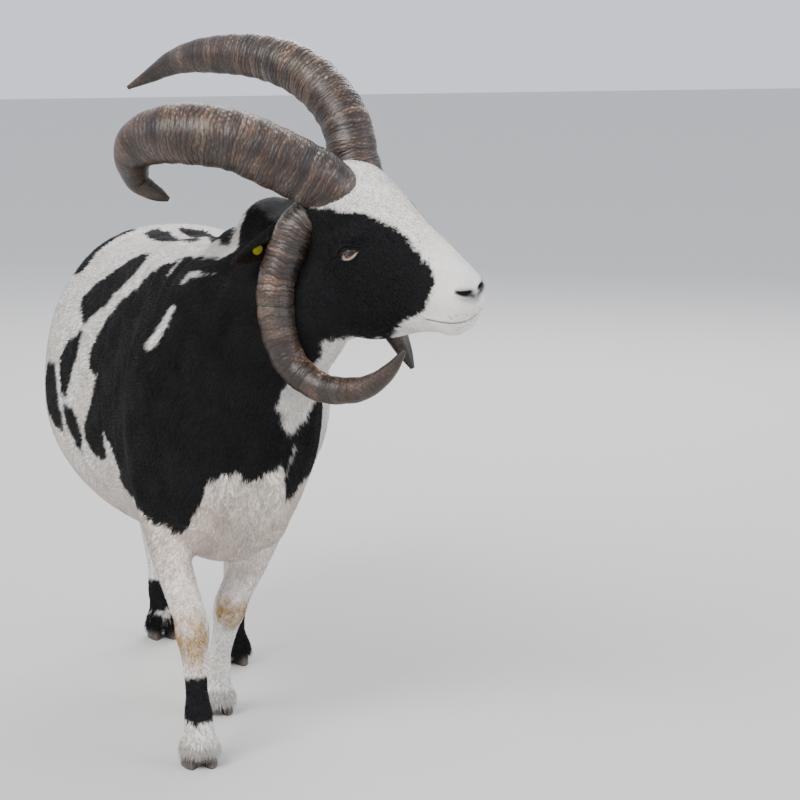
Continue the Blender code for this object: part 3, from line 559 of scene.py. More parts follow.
def trunk_black(p, rough):
    """How deep inside the trunk's black each point lies: saddle and patches, less the white streaks."""
    x, y, z = p.T
    flat = unrolled(p)
    chest = z - np.interp(x, CHEST_ACROSS, CHEST_EDGE)
    black = np.where((y < CHEST_BEHIND) & (z < JAW_HEIGHT), chest, depth_inside(flat, SADDLE)) + rough
    for outline in BLACK_PATCHES:
        black = np.maximum(black, np.where(z > TRUNK_BOTTOM, depth_inside(flat, outline), -1) + rough)
    for radius, chain in WHITE_STREAKS:
        black = np.minimum(black, reach(p, chain) - radius + rough * 0.6)
    return black


def leg_bands(p):
    """How deep inside the legs' black bands each point lies."""
    x, y, z = p.T
    band = np.full(len(p), -1.0)
    band = np.where((x < -0.03) & (y < -0.30), 0.031 - abs(z - 0.096), band)
    band = np.where((x < 0.03) & (y > 0.25), np.maximum(0.025 - abs(z - 0.076), 0.044 - z), band)
    return np.where((x >= 0.03) & (y > 0.08), 0.112 - z, band)


def cheek_black(h, rough):
    """How deep inside the black of the cheeks and poll each point lies, with the blaze between them."""
    hx, hy, hz = h.T
    cheek = np.interp(hz, CHEEK_HEIGHTS, CHEEK_EDGE) - hx
    cheek = np.where((hz > CHEEK_BOTTOM) & (hx > 0.0), np.minimum(cheek, abs(hy) - BLAZE_HALF), cheek)
    cheek = np.minimum(cheek, POLL_TOP - hz)
    cheek = np.maximum(cheek, np.minimum(POLL_FRONT - hx, 0.2))
    spikes = waves(h * (0.5, 1.0, 1.6), SPIKE_LENGTH) * SPIKE_SIZE
    return cheek + rough * 0.7 + spikes


# %% The coat's colours
LEG_TOP = 0.20
KNEE_TOP = 0.205
KNEE_HALF = 0.022
ROUGHNESS = [(0.060, 0.0030), (0.019, 0.0020), (0.0075, 0.0016)]
WOOL_REACH = 0.021
POLL_WOOL = [(-0.096, 0.070, 0.022), (-0.140, 0.030, 0.004), (-0.185, 0.005, -0.014)]


def knee_tan(p):
    """How deep inside the tan of the front knees each point lies."""
    x, y, z = p.T
    right = np.minimum(KNEE_TOP - z, z - 0.150) * 0.6 - np.maximum(abs(x + 0.080) - KNEE_HALF, 0)
    left = np.minimum(KNEE_TOP - z, z - 0.168) * 0.8 - np.maximum(abs(x - 0.013) - KNEE_HALF, 0)
    return np.where(y < -0.34, right, np.where((y < -0.225) & (x > -0.03), left, -1))


def paint_muzzle(colours, p, h):
    """Lay on the grey round the nostrils, their dark slits, the mouth line and the speckles by it."""
    hx = h[:, 0]
    nose = folded(h) - NOSTRIL
    pad = reach(folded(h), NOSE_PAD)
    colours = mix(colours, GREY, np.where(hx > 0.155, 0.8 * edge(0.0085 - pad, 0.0050), 0))
    colours = mix(colours, BLACK, np.where(hx > 0.155, edge(0.0022 - pad, 0.0016), 0))
    colours = mix(colours, BLACK, np.where(abs(nose[:, 0]) < 0.016, unit(3 - 2.2 * nostril_pit(nose)), 0))
    lift, ahead = mouth_place(h)
    lips = (ahead > 0.002) & (hx > 0.10)
    colours = mix(colours, MOUTH, np.where(lips, unit(1.5 - abs(lift) / 0.0013) * 0.75, 0))
    speckle = unit((waves(p, 0.0045) - 0.55) * 4) * (abs(lift) < 0.014) * (ahead > 0.040) * lips
    return mix(colours, GREY, speckle * 0.7)


def coat_colours(points):
    """The coat's colour at each point of the skin, as rows of linear red, green and blue."""
    p = at_feet(points)
    h = in_head(points)
    y, z = p[:, 1], p[:, 2]
    rough = sum(waves(p, length) * size for length, size in ROUGHNESS)
    # white, creamy on the chest and pink under the belly
    chest = unit((-0.24 - y) / 0.08) * unit((0.46 - z) / 0.08) * unit((z - 0.25) / 0.08)
    colours = mix(np.tile(WHITE, (len(p), 1)), CREAM, 0.12 + 0.12 * waves(p, 0.11) + 0.45 * chest)
    colours = mix(colours, PINK, 0.55 * edge(0.34 - z, 0.05) * edge(z - 0.23, 0.03))
    # black
    throat = rough - throat_white(p)
    black = np.minimum(trunk_black(p, rough), throat)
    black = np.where(z < LEG_TOP, leg_bands(p) + rough, black)
    on_head = (h[:, 0] > -0.092) & (norms(h - (0.03, 0, -0.04)) < 0.20)
    black = np.where(on_head, np.minimum(cheek_black(h, rough), throat), black)
    colours = mix(colours, BLACK, edge(black))
    # tan knees, grey poll, muzzle
    colours = mix(colours, TAN, edge(knee_tan(p) + rough * 2.5, 0.014) * (black < 0))
    wool = WOOL_REACH - reach(folded(h), POLL_WOOL)
    colours = mix(colours, GREY, 0.85 * edge(wool + rough * 1.5, 0.006))
    colours = paint_muzzle(colours, p, h)
    # dark horny dewclaws
    for place in DEWCLAWS:
        away = np.abs(p - place)
        nub = 0.010 - np.hypot(np.abs(away[:, 0] - 0.0125), away[:, 1]) - np.maximum(away[:, 2] - 0.006, 0)
        colours = mix(colours, MOUTH * 0.6, edge(nub, 0.002) * (y > place[1] - 0.006))
    return colours


# %% [markdown]
# Real skin has no seams, but the model's flesh is parted into nodes. So copies of all of them are welded,
# made a millimetre larger so that they overlap, and remeshed into one closed surface. Smoothing removes the
# facets, and the surface is then drawn in by the coat's depth, so that the tufts' tips end where the solids
# do.

# %% One skin from the flesh
LEGS = ["leg_front_right", "leg_front_left", "leg_hind_right", "leg_hind_left"]
FLESH = ["head", "neck", "torso", "tail", *LEGS]
OVERLAP = 0.0011
SKIN_VOXEL = 0.0056
BODY_COAT = 0.0030
FACE_COAT = 0.0014


def welded(name):
    """A welded copy of a node of the model."""
    bm = bmesh.new()
    bm.from_mesh(nodes[name].data)
    bmesh.ops.remove_doubles(bm, verts=bm.verts, dist=1e-6)
    bm.normal_update()
    return bm


merged = bmesh.new()
for name in [*FLESH, "eye_right", "eye_left"]:
    piece = welded(name)
    for vertex in piece.verts:
        vertex.co += vertex.normal * OVERLAP
    merged.from_mesh(mesh_from(piece, "holder"))
merged_obj = link(bpy.data.objects.new("merged", mesh_from(merged, "merged")))
remesh = merged_obj.modifiers.new("One surface", "REMESH")
remesh.mode = "VOXEL"
remesh.voxel_size = SKIN_VOXEL
skin_mesh = applied(merged_obj)
print("skin after the remesh:", len(skin_mesh.polygons), "faces")

# %% Smooth it, least on the face and feet
SOFT_STEPS = 10
EVEN_TIMES = 4
SOFT_TIMES = 26


def body_share(points):
    """How far each point is trunk and neck, and not head or lower leg, from 0 to 1."""
    from_head = unit((norms(in_head(points)) - 0.17) / 0.08)
    from_floor = unit((points[:, 2] - 0.22) / 0.12)
    return from_head * from_floor


skin_obj = link(bpy.data.objects.new("skin", skin_mesh))
shares = np.round(body_share(coordinates(skin_mesh)) * SOFT_STEPS).astype(int)
body_group = skin_obj.vertex_groups.new(name="body")
for share in range(1, SOFT_STEPS + 1):
    body_group.add(np.nonzero(shares == share)[0].tolist(), share / SOFT_STEPS, "REPLACE")
for title, times, group in (("Even", EVEN_TIMES, ""), ("Soft", SOFT_TIMES, "body")):
    smooth = skin_obj.modifiers.new(title, "SMOOTH")
    smooth.factor = 0.5
    smooth.iterations = times
    smooth.vertex_group = group
skin_mesh = applied(skin_obj)
places = coordinates(skin_mesh)
depth = FACE_COAT + (BODY_COAT - FACE_COAT) * body_share(places) + OVERLAP
move_vertices(skin_mesh, places - normals_of(skin_mesh) * depth[:, None])

# %% [markdown]
# The face needs finer faces than the flank. The faces round the eyes and on the muzzle are cut in four, and
# those right at the lids, nostrils and mouth once more. Then the forms are pressed in or raised: the eye's
# hollow with the lids' swelling and the folds over them, the nostrils' slanting pits, the split of the
# upper lip and the line of the mouth.

# %% The eye's own directions
EYE_RADIUS = 0.0156
EYE_OUT = Vector((0.30, 0.94, 0.10))
EYE_SLANT = radians(34)
EYE_LONG = 0.0168
EYE_HIGH = 0.0057
EYE_DROP = 0.0014
ALMOND = 0.45


def eye_axes(side):
    """Middle of the eye, then its outward, long and short directions, in the model's frame."""
    out = Vector((EYE_OUT.x, side * EYE_OUT.y, EYE_OUT.z)).normalized()
    along = Vector((cos(EYE_SLANT), 0, sin(EYE_SLANT)))
    along = (along - out * along.dot(out)).normalized()
    across = out.cross(along) * -side
    if across.z < 0:
        across = -across
    turn = head_frame.to_3x3()
    centre = head_frame @ Vector((EYE.x, side * EYE.y, EYE.z))
    return [np.array(v) for v in (centre, turn @ out, turn @ along, turn @ across)]


def eye_place(points, side):
    """For each point: across the opening's long way, its short way, and out, from the eye's middle."""
    centre, out, along, across = eye_axes(side)
    away = points - centre
    return away @ along, away @ across, away @ out


def eye_ratio(u, v):
    """1 on the opening's edge, less inside: an almond with pointed ends."""
    taper = np.maximum(1 - ALMOND * (u / EYE_LONG) ** 2, 0.35)
    return np.sqrt((u / EYE_LONG) ** 2 + ((v + EYE_DROP) / (EYE_HIGH * taper)) ** 2)


# %% Finer faces on the face
HEAD_REACH = 0.25


def finer(bm, wanted):
    """Cut in four the faces whose middle a function wants."""
    faces = list(bm.faces)
    middles = np.array([f.calc_center_median() for f in faces])
    edges = {e for face, good in zip(faces, wanted(middles)) if good for e in face.edges}
    bmesh.ops.subdivide_edges(bm, edges=list(edges), cuts=1, use_grid_fill=True)


def near_eyes(points, far):
    """True where a point lies close in front of an eye's opening."""
    good = np.zeros(len(points), bool)
    for side in (-1, 1):
        u, v, w = eye_place(points, side)
        good |= (np.sqrt(u**2 + v**2) < far) & (w > 0.0) & (w < 0.03)
    return good


def mouth_band(points, far):
    """True where a point lies close to the mouth line, the nostrils or the upper lip's split."""
    h = in_head(points)
    lift, ahead = mouth_place(h)
    nostril = norms(folded(h) - NOSTRIL) < far + 0.010
    line = (abs(lift) < far) & (ahead > -0.006)
    split = (abs(h[:, 1]) < far) & (h[:, 0] > 0.165)
    return (h[:, 0] > 0.09) & (nostril | line | split) & (norms(h) < HEAD_REACH)


def front_of_face(points):
    """True on the muzzle, ahead of the cheeks."""
    h = in_head(points)
    return (h[:, 0] > 0.108) & (norms(h) < HEAD_REACH)


face_bm = bmesh.new()
face_bm.from_mesh(skin_mesh)
finer(face_bm, lambda m: near_eyes(m, 0.034) | front_of_face(m))
finer(face_bm, lambda m: near_eyes(m, 0.024) | mouth_band(m, 0.006))
small = SKIN_VOXEL * 0.7
fine_verts = [v for v in face_bm.verts if any(e.calc_length() < small for e in v.link_edges)]
all_ways = {"use_axis_x": True, "use_axis_y": True, "use_axis_z": True}
for _ in range(4):
    bmesh.ops.smooth_vert(face_bm, verts=fine_verts, factor=0.5, **all_ways)
face_bm.to_mesh(skin_mesh)
face_bm.free()
print("skin with a finer face:", len(skin_mesh.polygons), "faces")

# %% Press in and raise the face's forms
EYE_HOLLOW = 0.011
BALL_COVER = 0.0012
MOUTH_DEPTH = 0.0042
LIP_SPLIT = 0.0018
NOSTRIL_DEPTH = 0.0070
places = coordinates(skin_mesh)
outwards = normals_of(skin_mesh)
h = in_head(places)
raised = np.zeros(len(places))
for side in (-1, 1):
    u, v, w = eye_place(places, side)
    near = (w > 0.002) & (w < 0.035) & (abs(u) < 0.045) & (abs(v) < 0.04)
    ratio = eye_ratio(u, v)
    swelling = 0.0012 * bell(ratio, 1.30, 0.22)
    groove = -0.0013 * bell(ratio, 1.95, 0.20) * np.where(v > 0, 1.0, 0.6)
    fold = 0.0012 * bell(ratio, 2.6, 0.30) * np.where(v > 0, 1.0, 0.2)
    raised += np.where(near, swelling + groove + fold, 0)
    sink = unit((1.0 - ratio) / 0.12) * EYE_HOLLOW
    centre, out, along, across = eye_axes(side)
    places -= np.where(near & (ratio < 1.0), sink, 0)[:, None] * out
    away = places - centre
    far = norms(away)
    covered = near & (ratio >= 1.0) & (np.hypot(u, v) < EYE_RADIUS) & (w > 0.003)
    lifted = np.maximum(EYE_RADIUS + BALL_COVER - far, 0) * covered
    places += away / far[:, None] * lifted[:, None]
lift, ahead = mouth_place(h)
lips = (h[:, 0] > 0.10) & (ahead > 0.0) & (norms(h) < HEAD_REACH)
raised += np.where(lips, -MOUTH_DEPTH * bell(lift, 0, 0.0013) * unit(ahead / 0.012), 0)
raised += np.where(lips, 0.0010 * bell(lift, 0.0045, 0.0028), 0)
split = lips & (h[:, 0] > 0.168) & (lift > 0)
raised += np.where(split, -LIP_SPLIT * bell(h[:, 1], 0, 0.0016) * unit((-0.034 - h[:, 2]) / 0.006), 0)
nose = folded(h) - NOSTRIL
pit = nostril_pit(nose)
by_nostril = lips & (abs(nose[:, 0]) < 0.02)
raised += np.where(by_nostril, -NOSTRIL_DEPTH * unit(1.25 - pit), 0)
raised += np.where(by_nostril, 0.0010 * bell(pit, 1.7, 0.45), 0)

# %% [markdown]
# The neck and shoulder of a ram carry soft upright creases under the short coat, which show as faint lines
# in the black. They are shallow waves pressed into the skin, strongest in front of the shoulder. The skin
# also swells a little in a ring over the claws.

# %% Creases on neck and shoulder
WIDE_CREASE = 0.034
THIN_CREASE = 0.021
CREASE_HEIGHT = 0.0011
CORONET_SWELL = 0.0042
p = at_feet(places)
crease_where = unit((-0.02 - p[:, 1]) / 0.12) * unit((p[:, 2] - 0.36) / 0.10) * body_share(places)
crease_way = p[:, 1] * 0.8 + np.abs(p[:, 0]) * 0.5 + 0.006 * waves(p, 0.16)
crease = np.sin(crease_way * 2 * pi / WIDE_CREASE) + 0.5 * np.sin(crease_way * 2 * pi / THIN_CREASE + 1.3)
raised += CREASE_HEIGHT * crease_where * unit(0.4 + waves(p, 0.13)) * crease
raised += CORONET_SWELL * bell(p[:, 2], 0.032, 0.015)
places += outwards * raised[:, None]
move_vertices(skin_mesh, places)
paint_points(skin_mesh, coat_colours(places))
print("skin:", sum(len(f.vertices) - 2 for f in skin_mesh.polygons), "triangles")

# %% [markdown]
# Short fur is seen as colour, a soft sheen and very fine grain. The colour comes from the stored attribute,
# broken by noise; the grain is a bump from two sizes of noise. One material serves skin and tufts, so the
# skin never shows through as something else.

# %% The coat's material
COAT_SHADER = {"Sheen Weight": 0.035, "Sheen Roughness": 0.45, "Specular IOR Level": 0.22}
coat_material, tree, shader = principled("coat", (0.5, 0.5, 0.5), 0.82, COAT_SHADER)
stored = add(tree, "Attribute", {}, attribute_name="coat")
where = place_on(tree)
grain = noise(tree, where, 420, 4).outputs["Fac"]
patchy = noise(tree, where, 38, 5).outputs["Fac"]
both = math_node(tree, "MULTIPLY_ADD", grain, 0.5, patchy)
limits = {"From Min": 0.35, "From Max": 1.15, "To Min": 0.80, "To Max": 1.14}
shade = add(tree, "MapRange", {"Value": both, **limits})
tint = {0: stored.outputs["Color"], "Scale": shade.outputs["Result"]}
tinted = add(tree, "VectorMath", tint, operation="SCALE")
tree.links.new(tinted.outputs["Vector"], shader.inputs["Base Color"])
bumped(tree, shader, both, 0.5, 0.0012)
skin = shown("skin", skin_mesh, coat_material)
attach(skin, "root")
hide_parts(*FLESH)

# %% [markdown]
# An ear is a thin cupped leaf, too thin for the remesh that made the skin, so each one is a smoothed copy
# of its own node, subdivided until its rim is round.

# %% Ears
EAR_COLOUR = np.array((0.012, 0.010, 0.010))
EAR_RIM = np.array((0.10, 0.085, 0.075))
EAR_LEVELS = 2


def rounded(bm, name, levels):
    """The mesh of a welded node, rounded by subdivision."""
    obj = link(bpy.data.objects.new(name, mesh_from(bm, name)))
    rounder = obj.modifiers.new("Rounder", "SUBSURF")
    rounder.levels = levels
    rounder.render_levels = levels
    return applied(obj)


def ear_piece(word):
    """A finer ear in place of the model's."""
    mesh = rounded(welded("ear_" + word), "ear_fine_" + word, EAR_LEVELS)
    points = coordinates(mesh)
    paleness = unit(waves(points, 0.02) - 0.3)
    paint_points(mesh, mix(np.tile(EAR_COLOUR, (len(points), 1)), EAR_RIM, paleness * 0.5))
    obj = shown("ear_fine_" + word, mesh, coat_material)
    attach(obj, "root")
    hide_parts("ear_" + word)
    return obj


ears = [ear_piece("right"), ear_piece("left")]

# %% [markdown]
# The tufts need a flat map that a bake can use. The skin is divided by node and by the way it faces, each
# part is laid flat along its main axis, and the parts are packed on shelves in the unit square. A tuft's
# own little patch of the map lies at the place of its root.

# %% A flat map of the skin
MAP_MARGIN = 0.006
MAP_TOP = 0.92


def flat_maps(middles, facing, parts):
    """Each face's place on the map: an origin and two axes for each part of the skin, packed on shelves."""
    charts = {}
    for part in range(parts.max() + 1):
        for way in range(6):
            chosen = np.nonzero((parts == part) & (facing == way))[0]
            if len(chosen) == 0:
                continue
            axes = [a for a in range(3) if a != way // 2]
            low = middles[chosen][:, axes].min(axis=0)
            high = middles[chosen][:, axes].max(axis=0)
            charts[(part, way)] = (axes, low, high - low)
    order = sorted(charts, key=lambda key: -charts[key][2][1])
    for scale in np.linspace(0.9, 0.2, 71):
        x = y = row = 0.0
        origins = {}
        for key in order:
            width, height = charts[key][2] * scale + MAP_MARGIN
            if x + width > 1:
                x, y, row = 0.0, y + row, 0.0
            origins[key] = (x + MAP_MARGIN / 2, y + MAP_MARGIN / 2)
            x += width
            row = max(row, height)
        if y + row <= MAP_TOP and all(charts[key][2][0] * scale + MAP_MARGIN <= 1 for key in order):
            break
    print("flat map:", len(order), "parts at", round(scale, 3), "of the map for each metre")
    return charts, origins, scale


face_middles = rows_of(skin_mesh.polygons, "center", 3)
face_normals = rows_of(skin_mesh.polygons, "normal", 3)
facing = np.abs(face_normals).argmax(axis=1)
facing = facing * 2 + (np.take_along_axis(face_normals, facing[:, None], axis=1)[:, 0] < 0)

flesh_bm = bmesh.new()
owner = []
for number, name in enumerate(FLESH):
    before = len(flesh_bm.faces)
    flesh_bm.from_mesh(nodes[name].data)
    owner += [number] * (len(flesh_bm.faces) - before)
flesh_tree = BVHTree.FromBMesh(flesh_bm)
flesh_bm.free()
parts = np.array([owner[flesh_tree.find_nearest(Vector(m))[2]] for m in face_middles])
charts, origins, map_scale = flat_maps(face_middles, facing, parts)

# %% [markdown]
# The coat is short and lies close, so the tufts are thin slips that lift only a little. In front of the eyes
# they point to the muzzle, behind the eyes back to the nape, and then back and down over the body and
# straight down the legs. They are shortest on the muzzle and longest on the poll and brisket.

# %% Where the coat lies and how long it is
HIGH_POLL = [(-0.085, 0.060, 0.030), (-0.145, 0.025, 0.005)]
BRISKET = [(0.0, -0.345, 0.330), (0.0, -0.200, 0.285)]
LEG_TUFT = 0.0046
BODY_MORE = 0.0042
POLL_MORE = 0.005
CORONET_MORE = 0.004
BRISKET_MORE = 0.003


def lie_of(points, normals):
    """The way the coat lies at each point, along the skin."""
    h = in_head(points)
    p = at_feet(points)
    low = unit((0.34 - p[:, 2]) / 0.10)[:, None]
    way = np.array((0.0, 0.80, -0.60)) * (1 - low) + np.array((0.0, 0.05, -1.0)) * low
    fore = unit((-0.22 - p[:, 1]) / 0.10)[:, None] * (1 - low)
    way = way * (1 - fore) + np.array((-0.15, 0.55, -0.80)) * fore
    head = unit((h[:, 0] + 0.13) / 0.06)[:, None] * (norms(h) < 0.24)[:, None]
    ahead = unit((h[:, 0] + 0.055) / 0.05)[:, None]
    way = way * (1 - head) + (turned(1, 0, -0.45) * ahead + turned(-0.6, 0, -0.8) * (1 - ahead)) * head
    way = way + 0.25 * np.stack([waves(p, 0.05), waves(p + 0.3, 0.06), waves(p + 0.7, 0.05)], axis=1)
    return along_skin(way, normals)


def length_of(points):
    """The tufts' length at each point."""
    h = in_head(points)
    p = at_feet(points)
    length = LEG_TUFT + BODY_MORE * body_share(points)
    length += POLL_MORE * unit(1.4 - reach(folded(h), HIGH_POLL) / 0.040)
    length += CORONET_MORE * unit((0.070 - p[:, 2]) / 0.020)
    length *= 1 - 0.5 * unit((h[:, 0] - 0.07) / 0.06) * (norms(h) < 0.25)
    length += BRISKET_MORE * unit(1.3 - reach(p, BRISKET) / 0.08)
    return length * (1 - 0.45 * (unit((h[:, 0] - 0.09) / 0.06) * (norms(h) < 0.24)))


# %% Make one piece of coat
TUFT_FACES = np.array([(0, 1, 3), (1, 2, 3), (2, 0, 3), (0, 2, 1)])
BAKE_PATCH = np.array([(-0.0015, -0.0015), (0.0015, -0.0015), (0.0, 0.0), (0.0, 0.0015)])
ROOT_DEPTH = 0.0005
ABOVE_FLOOR = 0.0008
TUFT_WIDTH = 0.0008
TUFT_TAPER = 0.07
LENGTH_SPREAD = (0.7, 1.25)
LIFT_SPREAD = (0.12, 0.30)
TONE_SPREAD = (0.90, 1.10)
SIDE_SPREAD = 0.16
coat_random = np.random.default_rng(5)


def tuft_mesh(name, roots, normals, ways, lengths, widths, colours, map_places):
    """Solid tapering slips, four corners and four faces each, as one mesh."""
    count = len(roots)
    across = np.cross(normals, ways)
    half = across * (widths / 2)[:, None]
    base = roots - normals * ROOT_DEPTH
    crest = base + normals * (widths * 0.55)[:, None]
    lift = coat_random.uniform(*LIFT_SPREAD, count)
    tip = roots + ways * lengths[:, None] + normals * (lengths * lift)[:, None]
    tip += across * (lengths * coat_random.normal(0, SIDE_SPREAD, count))[:, None]
    tip[:, 2] = np.maximum(tip[:, 2], ABOVE_FLOOR)
    corners = np.stack([base - half, base + half, crest, tip], axis=1)
    faces = (TUFT_FACES[None] + 4 * np.arange(count)[:, None, None]).reshape(-1, 3)
    mesh = bpy.data.meshes.new(name)
    mesh.vertices.add(count * 4)
    mesh.vertices.foreach_set("co", corners.astype(np.float32).ravel())
    mesh.loops.add(len(faces) * 3)
    mesh.loops.foreach_set("vertex_index", faces.astype(np.int32).ravel())
    mesh.polygons.add(len(faces))
    mesh.polygons.foreach_set("loop_start", np.arange(0, len(faces) * 3, 3, dtype=np.int32))
    mesh.update(calc_edges=True)
    mesh.validate()
    tones = colours * coat_random.uniform(*TONE_SPREAD, count)[:, None]
    paint_points(mesh, np.repeat(tones, 4, axis=0))
    uv = mesh.uv_layers.new(name="OFBake")
    spots = map_places[:, None, :] + BAKE_PATCH[None]
    uv.data.foreach_set("uv", spots.reshape(-1, 2)[faces.ravel()].astype(np.float32).ravel())
    obj = shown(name, mesh, coat_material)
    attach(obj, "root")
    return obj


# %% [markdown]
# Tufts are spread by area, with more for each square metre on the head and legs, where they are small. The
# whole coat is parted by node, and on the trunk by distance along it, so that no piece is too heavy.

# %% Spread the coat over the skin: owners, first and last place along the body, tufts
COAT_PIECES = {
    "coat_head": (["head"], -FAR_AWAY, FAR_AWAY, 48000),
    "coat_neck": (["neck"], -FAR_AWAY, FAR_AWAY, 42000),
    "coat_shoulders": (["torso"], -FAR_AWAY, -0.16, 48000),
    "coat_ribs": (["torso"], -0.16, 0.02, 48000),
    "coat_flanks": (["torso"], 0.02, 0.22, 46000),
    "coat_rump": (["torso", "tail"], 0.22, FAR_AWAY, 44000),
    "coat_legs": (LEGS, -FAR_AWAY, FAR_AWAY, 46000),
}
EYE_EDGE = 1.12
NOSTRIL_EDGE = 1.25
MOUTH_HALF = 0.0022
HOOF_TOP = 0.024


def triangles_of(mesh):
    """A mesh's triangles: their corners, the faces that they belong to, and twice their areas."""
    mesh.calc_loop_triangles()
    corners = rows_of(mesh.loop_triangles, "vertices", 3, np.int32)
    a, b, c = coordinates(mesh)[corners.T]
    return corners, rows_of(mesh.loop_triangles, "polygon_index", 1, np.int32), norms(np.cross(b - a, c - a))


def scattered(mesh, corners, sizes, count):
    """Seeded places spread evenly over triangles, with their normals and the triangles they lie in."""
    chosen = coat_random.choice(len(corners), size=count, p=sizes / sizes.sum())
    r1 = np.sqrt(coat_random.uniform(size=count))
    r2 = coat_random.uniform(size=count)
    shares = np.stack([1 - r1, r1 * (1 - r2), r1 * r2], axis=1)[:, :, None]
    roots = (coordinates(mesh)[corners[chosen]] * shares).sum(axis=1)
    normals = (normals_of(mesh)[corners[chosen]] * shares).sum(axis=1)
    return roots, unit_rows(normals), chosen


def bare(points):
    """True where no coat grows: inside eye openings, nostrils and the mouth line, and on the hooves."""
    h = in_head(points)
    none = at_feet(points)[:, 2] < HOOF_TOP
    for side in (-1, 1):
        u, v, w = eye_place(points, side)
        none |= (eye_ratio(u, v) < EYE_EDGE) & (w > 0) & (w < 0.03)
    nose = folded(h) - NOSTRIL
    none |= (nostril_pit(nose) < NOSTRIL_EDGE) & (abs(nose[:, 0]) < 0.02)
    lift, ahead = mouth_place(h)
    none |= (abs(lift) < MOUTH_HALF) & (ahead > 0) & (h[:, 0] > 0.10) & (norms(h) < HEAD_REACH)
    return none


def on_map(roots, faces_of):
    """Each root's place on the skin's flat map, from the skin face that it stands on."""
    spots = np.empty((len(roots), 2))
    for key, (axes, low, size) in charts.items():
        here = (parts[faces_of] == key[0]) & (facing[faces_of] == key[1])
        spots[here] = (roots[here][:, axes] - low) * map_scale + origins[key]
    return spots


corners, faces_under, sizes = triangles_of(skin_mesh)
mid_y = coordinates(skin_mesh)[corners][:, :, 1].sum(axis=1) / 3
for piece_name, (owners, first, last, wanted) in COAT_PIECES.items():
    mine = np.isin(parts[faces_under], [FLESH.index(name) for name in owners])
    own = np.nonzero(mine & (mid_y >= first) & (mid_y < last))[0]
    roots, normals, chosen = scattered(skin_mesh, corners[own], sizes[own], wanted)
    keep = ~bare(roots)
    roots, normals, faces_of = roots[keep], normals[keep], faces_under[own][chosen][keep]
    lengths = length_of(roots) * coat_random.uniform(*LENGTH_SPREAD, len(roots))
    ways = lie_of(roots, normals)
    widths = TUFT_WIDTH + TUFT_TAPER * lengths
    tuft_mesh(piece_name, roots, normals, ways, lengths, widths, coat_colours(roots), on_map(roots, faces_of))
    print(piece_name, len(roots), "tufts")

# %% [markdown]
# The ears carry the same short hair, laid to the tip, and a fringe hangs from each coronet over the claws.
# Both are made as the coat is. The fringes use the skin's flat map, and the ears' patches lie in a strip of
# it that the skin leaves free, with the ear's two faces side by side.

# %% Ear hair
EAR_TUFTS = 9000
EAR_MAP = {"right": (0.55, 0.93), "left": (0.78, 0.93)}
EAR_BROWN = np.array((0.060, 0.036, 0.022))
EAR_LENGTHS = (0.004, 0.0085)
STRAY = 0.30
for ear_obj, word, side in zip(ears, ("right", "left"), (-1, 1)):
    ear_corners, _, ear_sizes = triangles_of(ear_obj.data)
    roots, normals, _ = scattered(ear_obj.data, ear_corners, ear_sizes, EAR_TUFTS)
    count = len(roots)
    h = in_head(roots)
    to_tip = turned(*Vector((-0.022, side * 0.084, -0.044)).normalized())
    way = along_skin(to_tip + coat_random.normal(0, STRAY, (count, 3)), normals)
    lengths = coat_random.uniform(*EAR_LENGTHS, count)
    brown = unit(coat_random.normal(-0.1, 0.35, count) + (-0.030 - h[:, 2]) / 0.03)
    tones = mix(np.tile(BLACK * 1.3, (count, 1)), EAR_BROWN, brown * 0.8)
    flat = np.stack([abs(h[:, 1]) - abs(h[:, 1]).min(), h[:, 2] - h[:, 2].min()], axis=1)
    inner = normals @ turned(1, 0, 0) > 0
    spots = flat * 0.6 * (1.0, 0.7) + EAR_MAP[word] + inner[:, None] * (0.10, 0.0)
    tuft_mesh("coat_ear_" + word, roots, normals, way, lengths, 0.0007 + 0.05 * lengths, tones, spots)

# %% Coronet fringes
FEET = [(-0.064, -0.407), (0.002, -0.130), (-0.015, 0.358), (0.072, 0.160)]
FRINGE_TUFTS = 2600
ROUND_FOOT = 0.070
TIP_HEIGHT = 0.0035
FRINGE_HEIGHTS = (0.022, 0.050)
FRINGE_LENGTHS = (0.011, 0.022)
rays = []
fringe_lengths = []
for x, y in FEET:
    angle = coat_random.uniform(0, 2 * pi, FRINGE_TUFTS)
    height = coat_random.uniform(*FRINGE_HEIGHTS, FRINGE_TUFTS)
    starts_x = x + shift.x + ROUND_FOOT * np.cos(angle)
    starts_y = y + shift.y + ROUND_FOOT * np.sin(angle)
    for start in zip(starts_x, starts_y, height):
        origin = Vector(start)
        centre = Vector((x + shift.x, y + shift.y + 0.004, start[2]))
        rays.append((origin, (centre - origin).normalized()))
    fringe_lengths.append(coat_random.uniform(*FRINGE_LENGTHS, FRINGE_TUFTS))
skin_places = [Vector(spot) for spot in coordinates(skin_mesh)]
skin_tree = BVHTree.FromPolygons(skin_places, [tuple(f.vertices) for f in skin_mesh.polygons])
hits = [skin_tree.ray_cast(origin, way, ROUND_FOOT) for origin, way in rays]
good = np.array([hit[0] is not None for hit in hits])
hits = [hit for hit in hits if hit[0] is not None]
roots, normals, faces_of = (np.array([hit[k] for hit in hits]) for k in range(3))
lengths = np.concatenate(fringe_lengths)[good]
down = np.array((0.0, 0.0, -1.0)) + normals * 0.12 + coat_random.normal(0, 0.07, (len(roots), 3))
down = unit_rows(down)
lengths = np.minimum(lengths, (roots[:, 2] - TIP_HEIGHT) / np.maximum(-down[:, 2], 0.3))
colours = coat_colours(roots)
map_places = on_map(roots, faces_of)
tuft_mesh("coat_fringes", roots, normals, down, lengths, 0.0009 + 0.05 * lengths, colours, map_places)

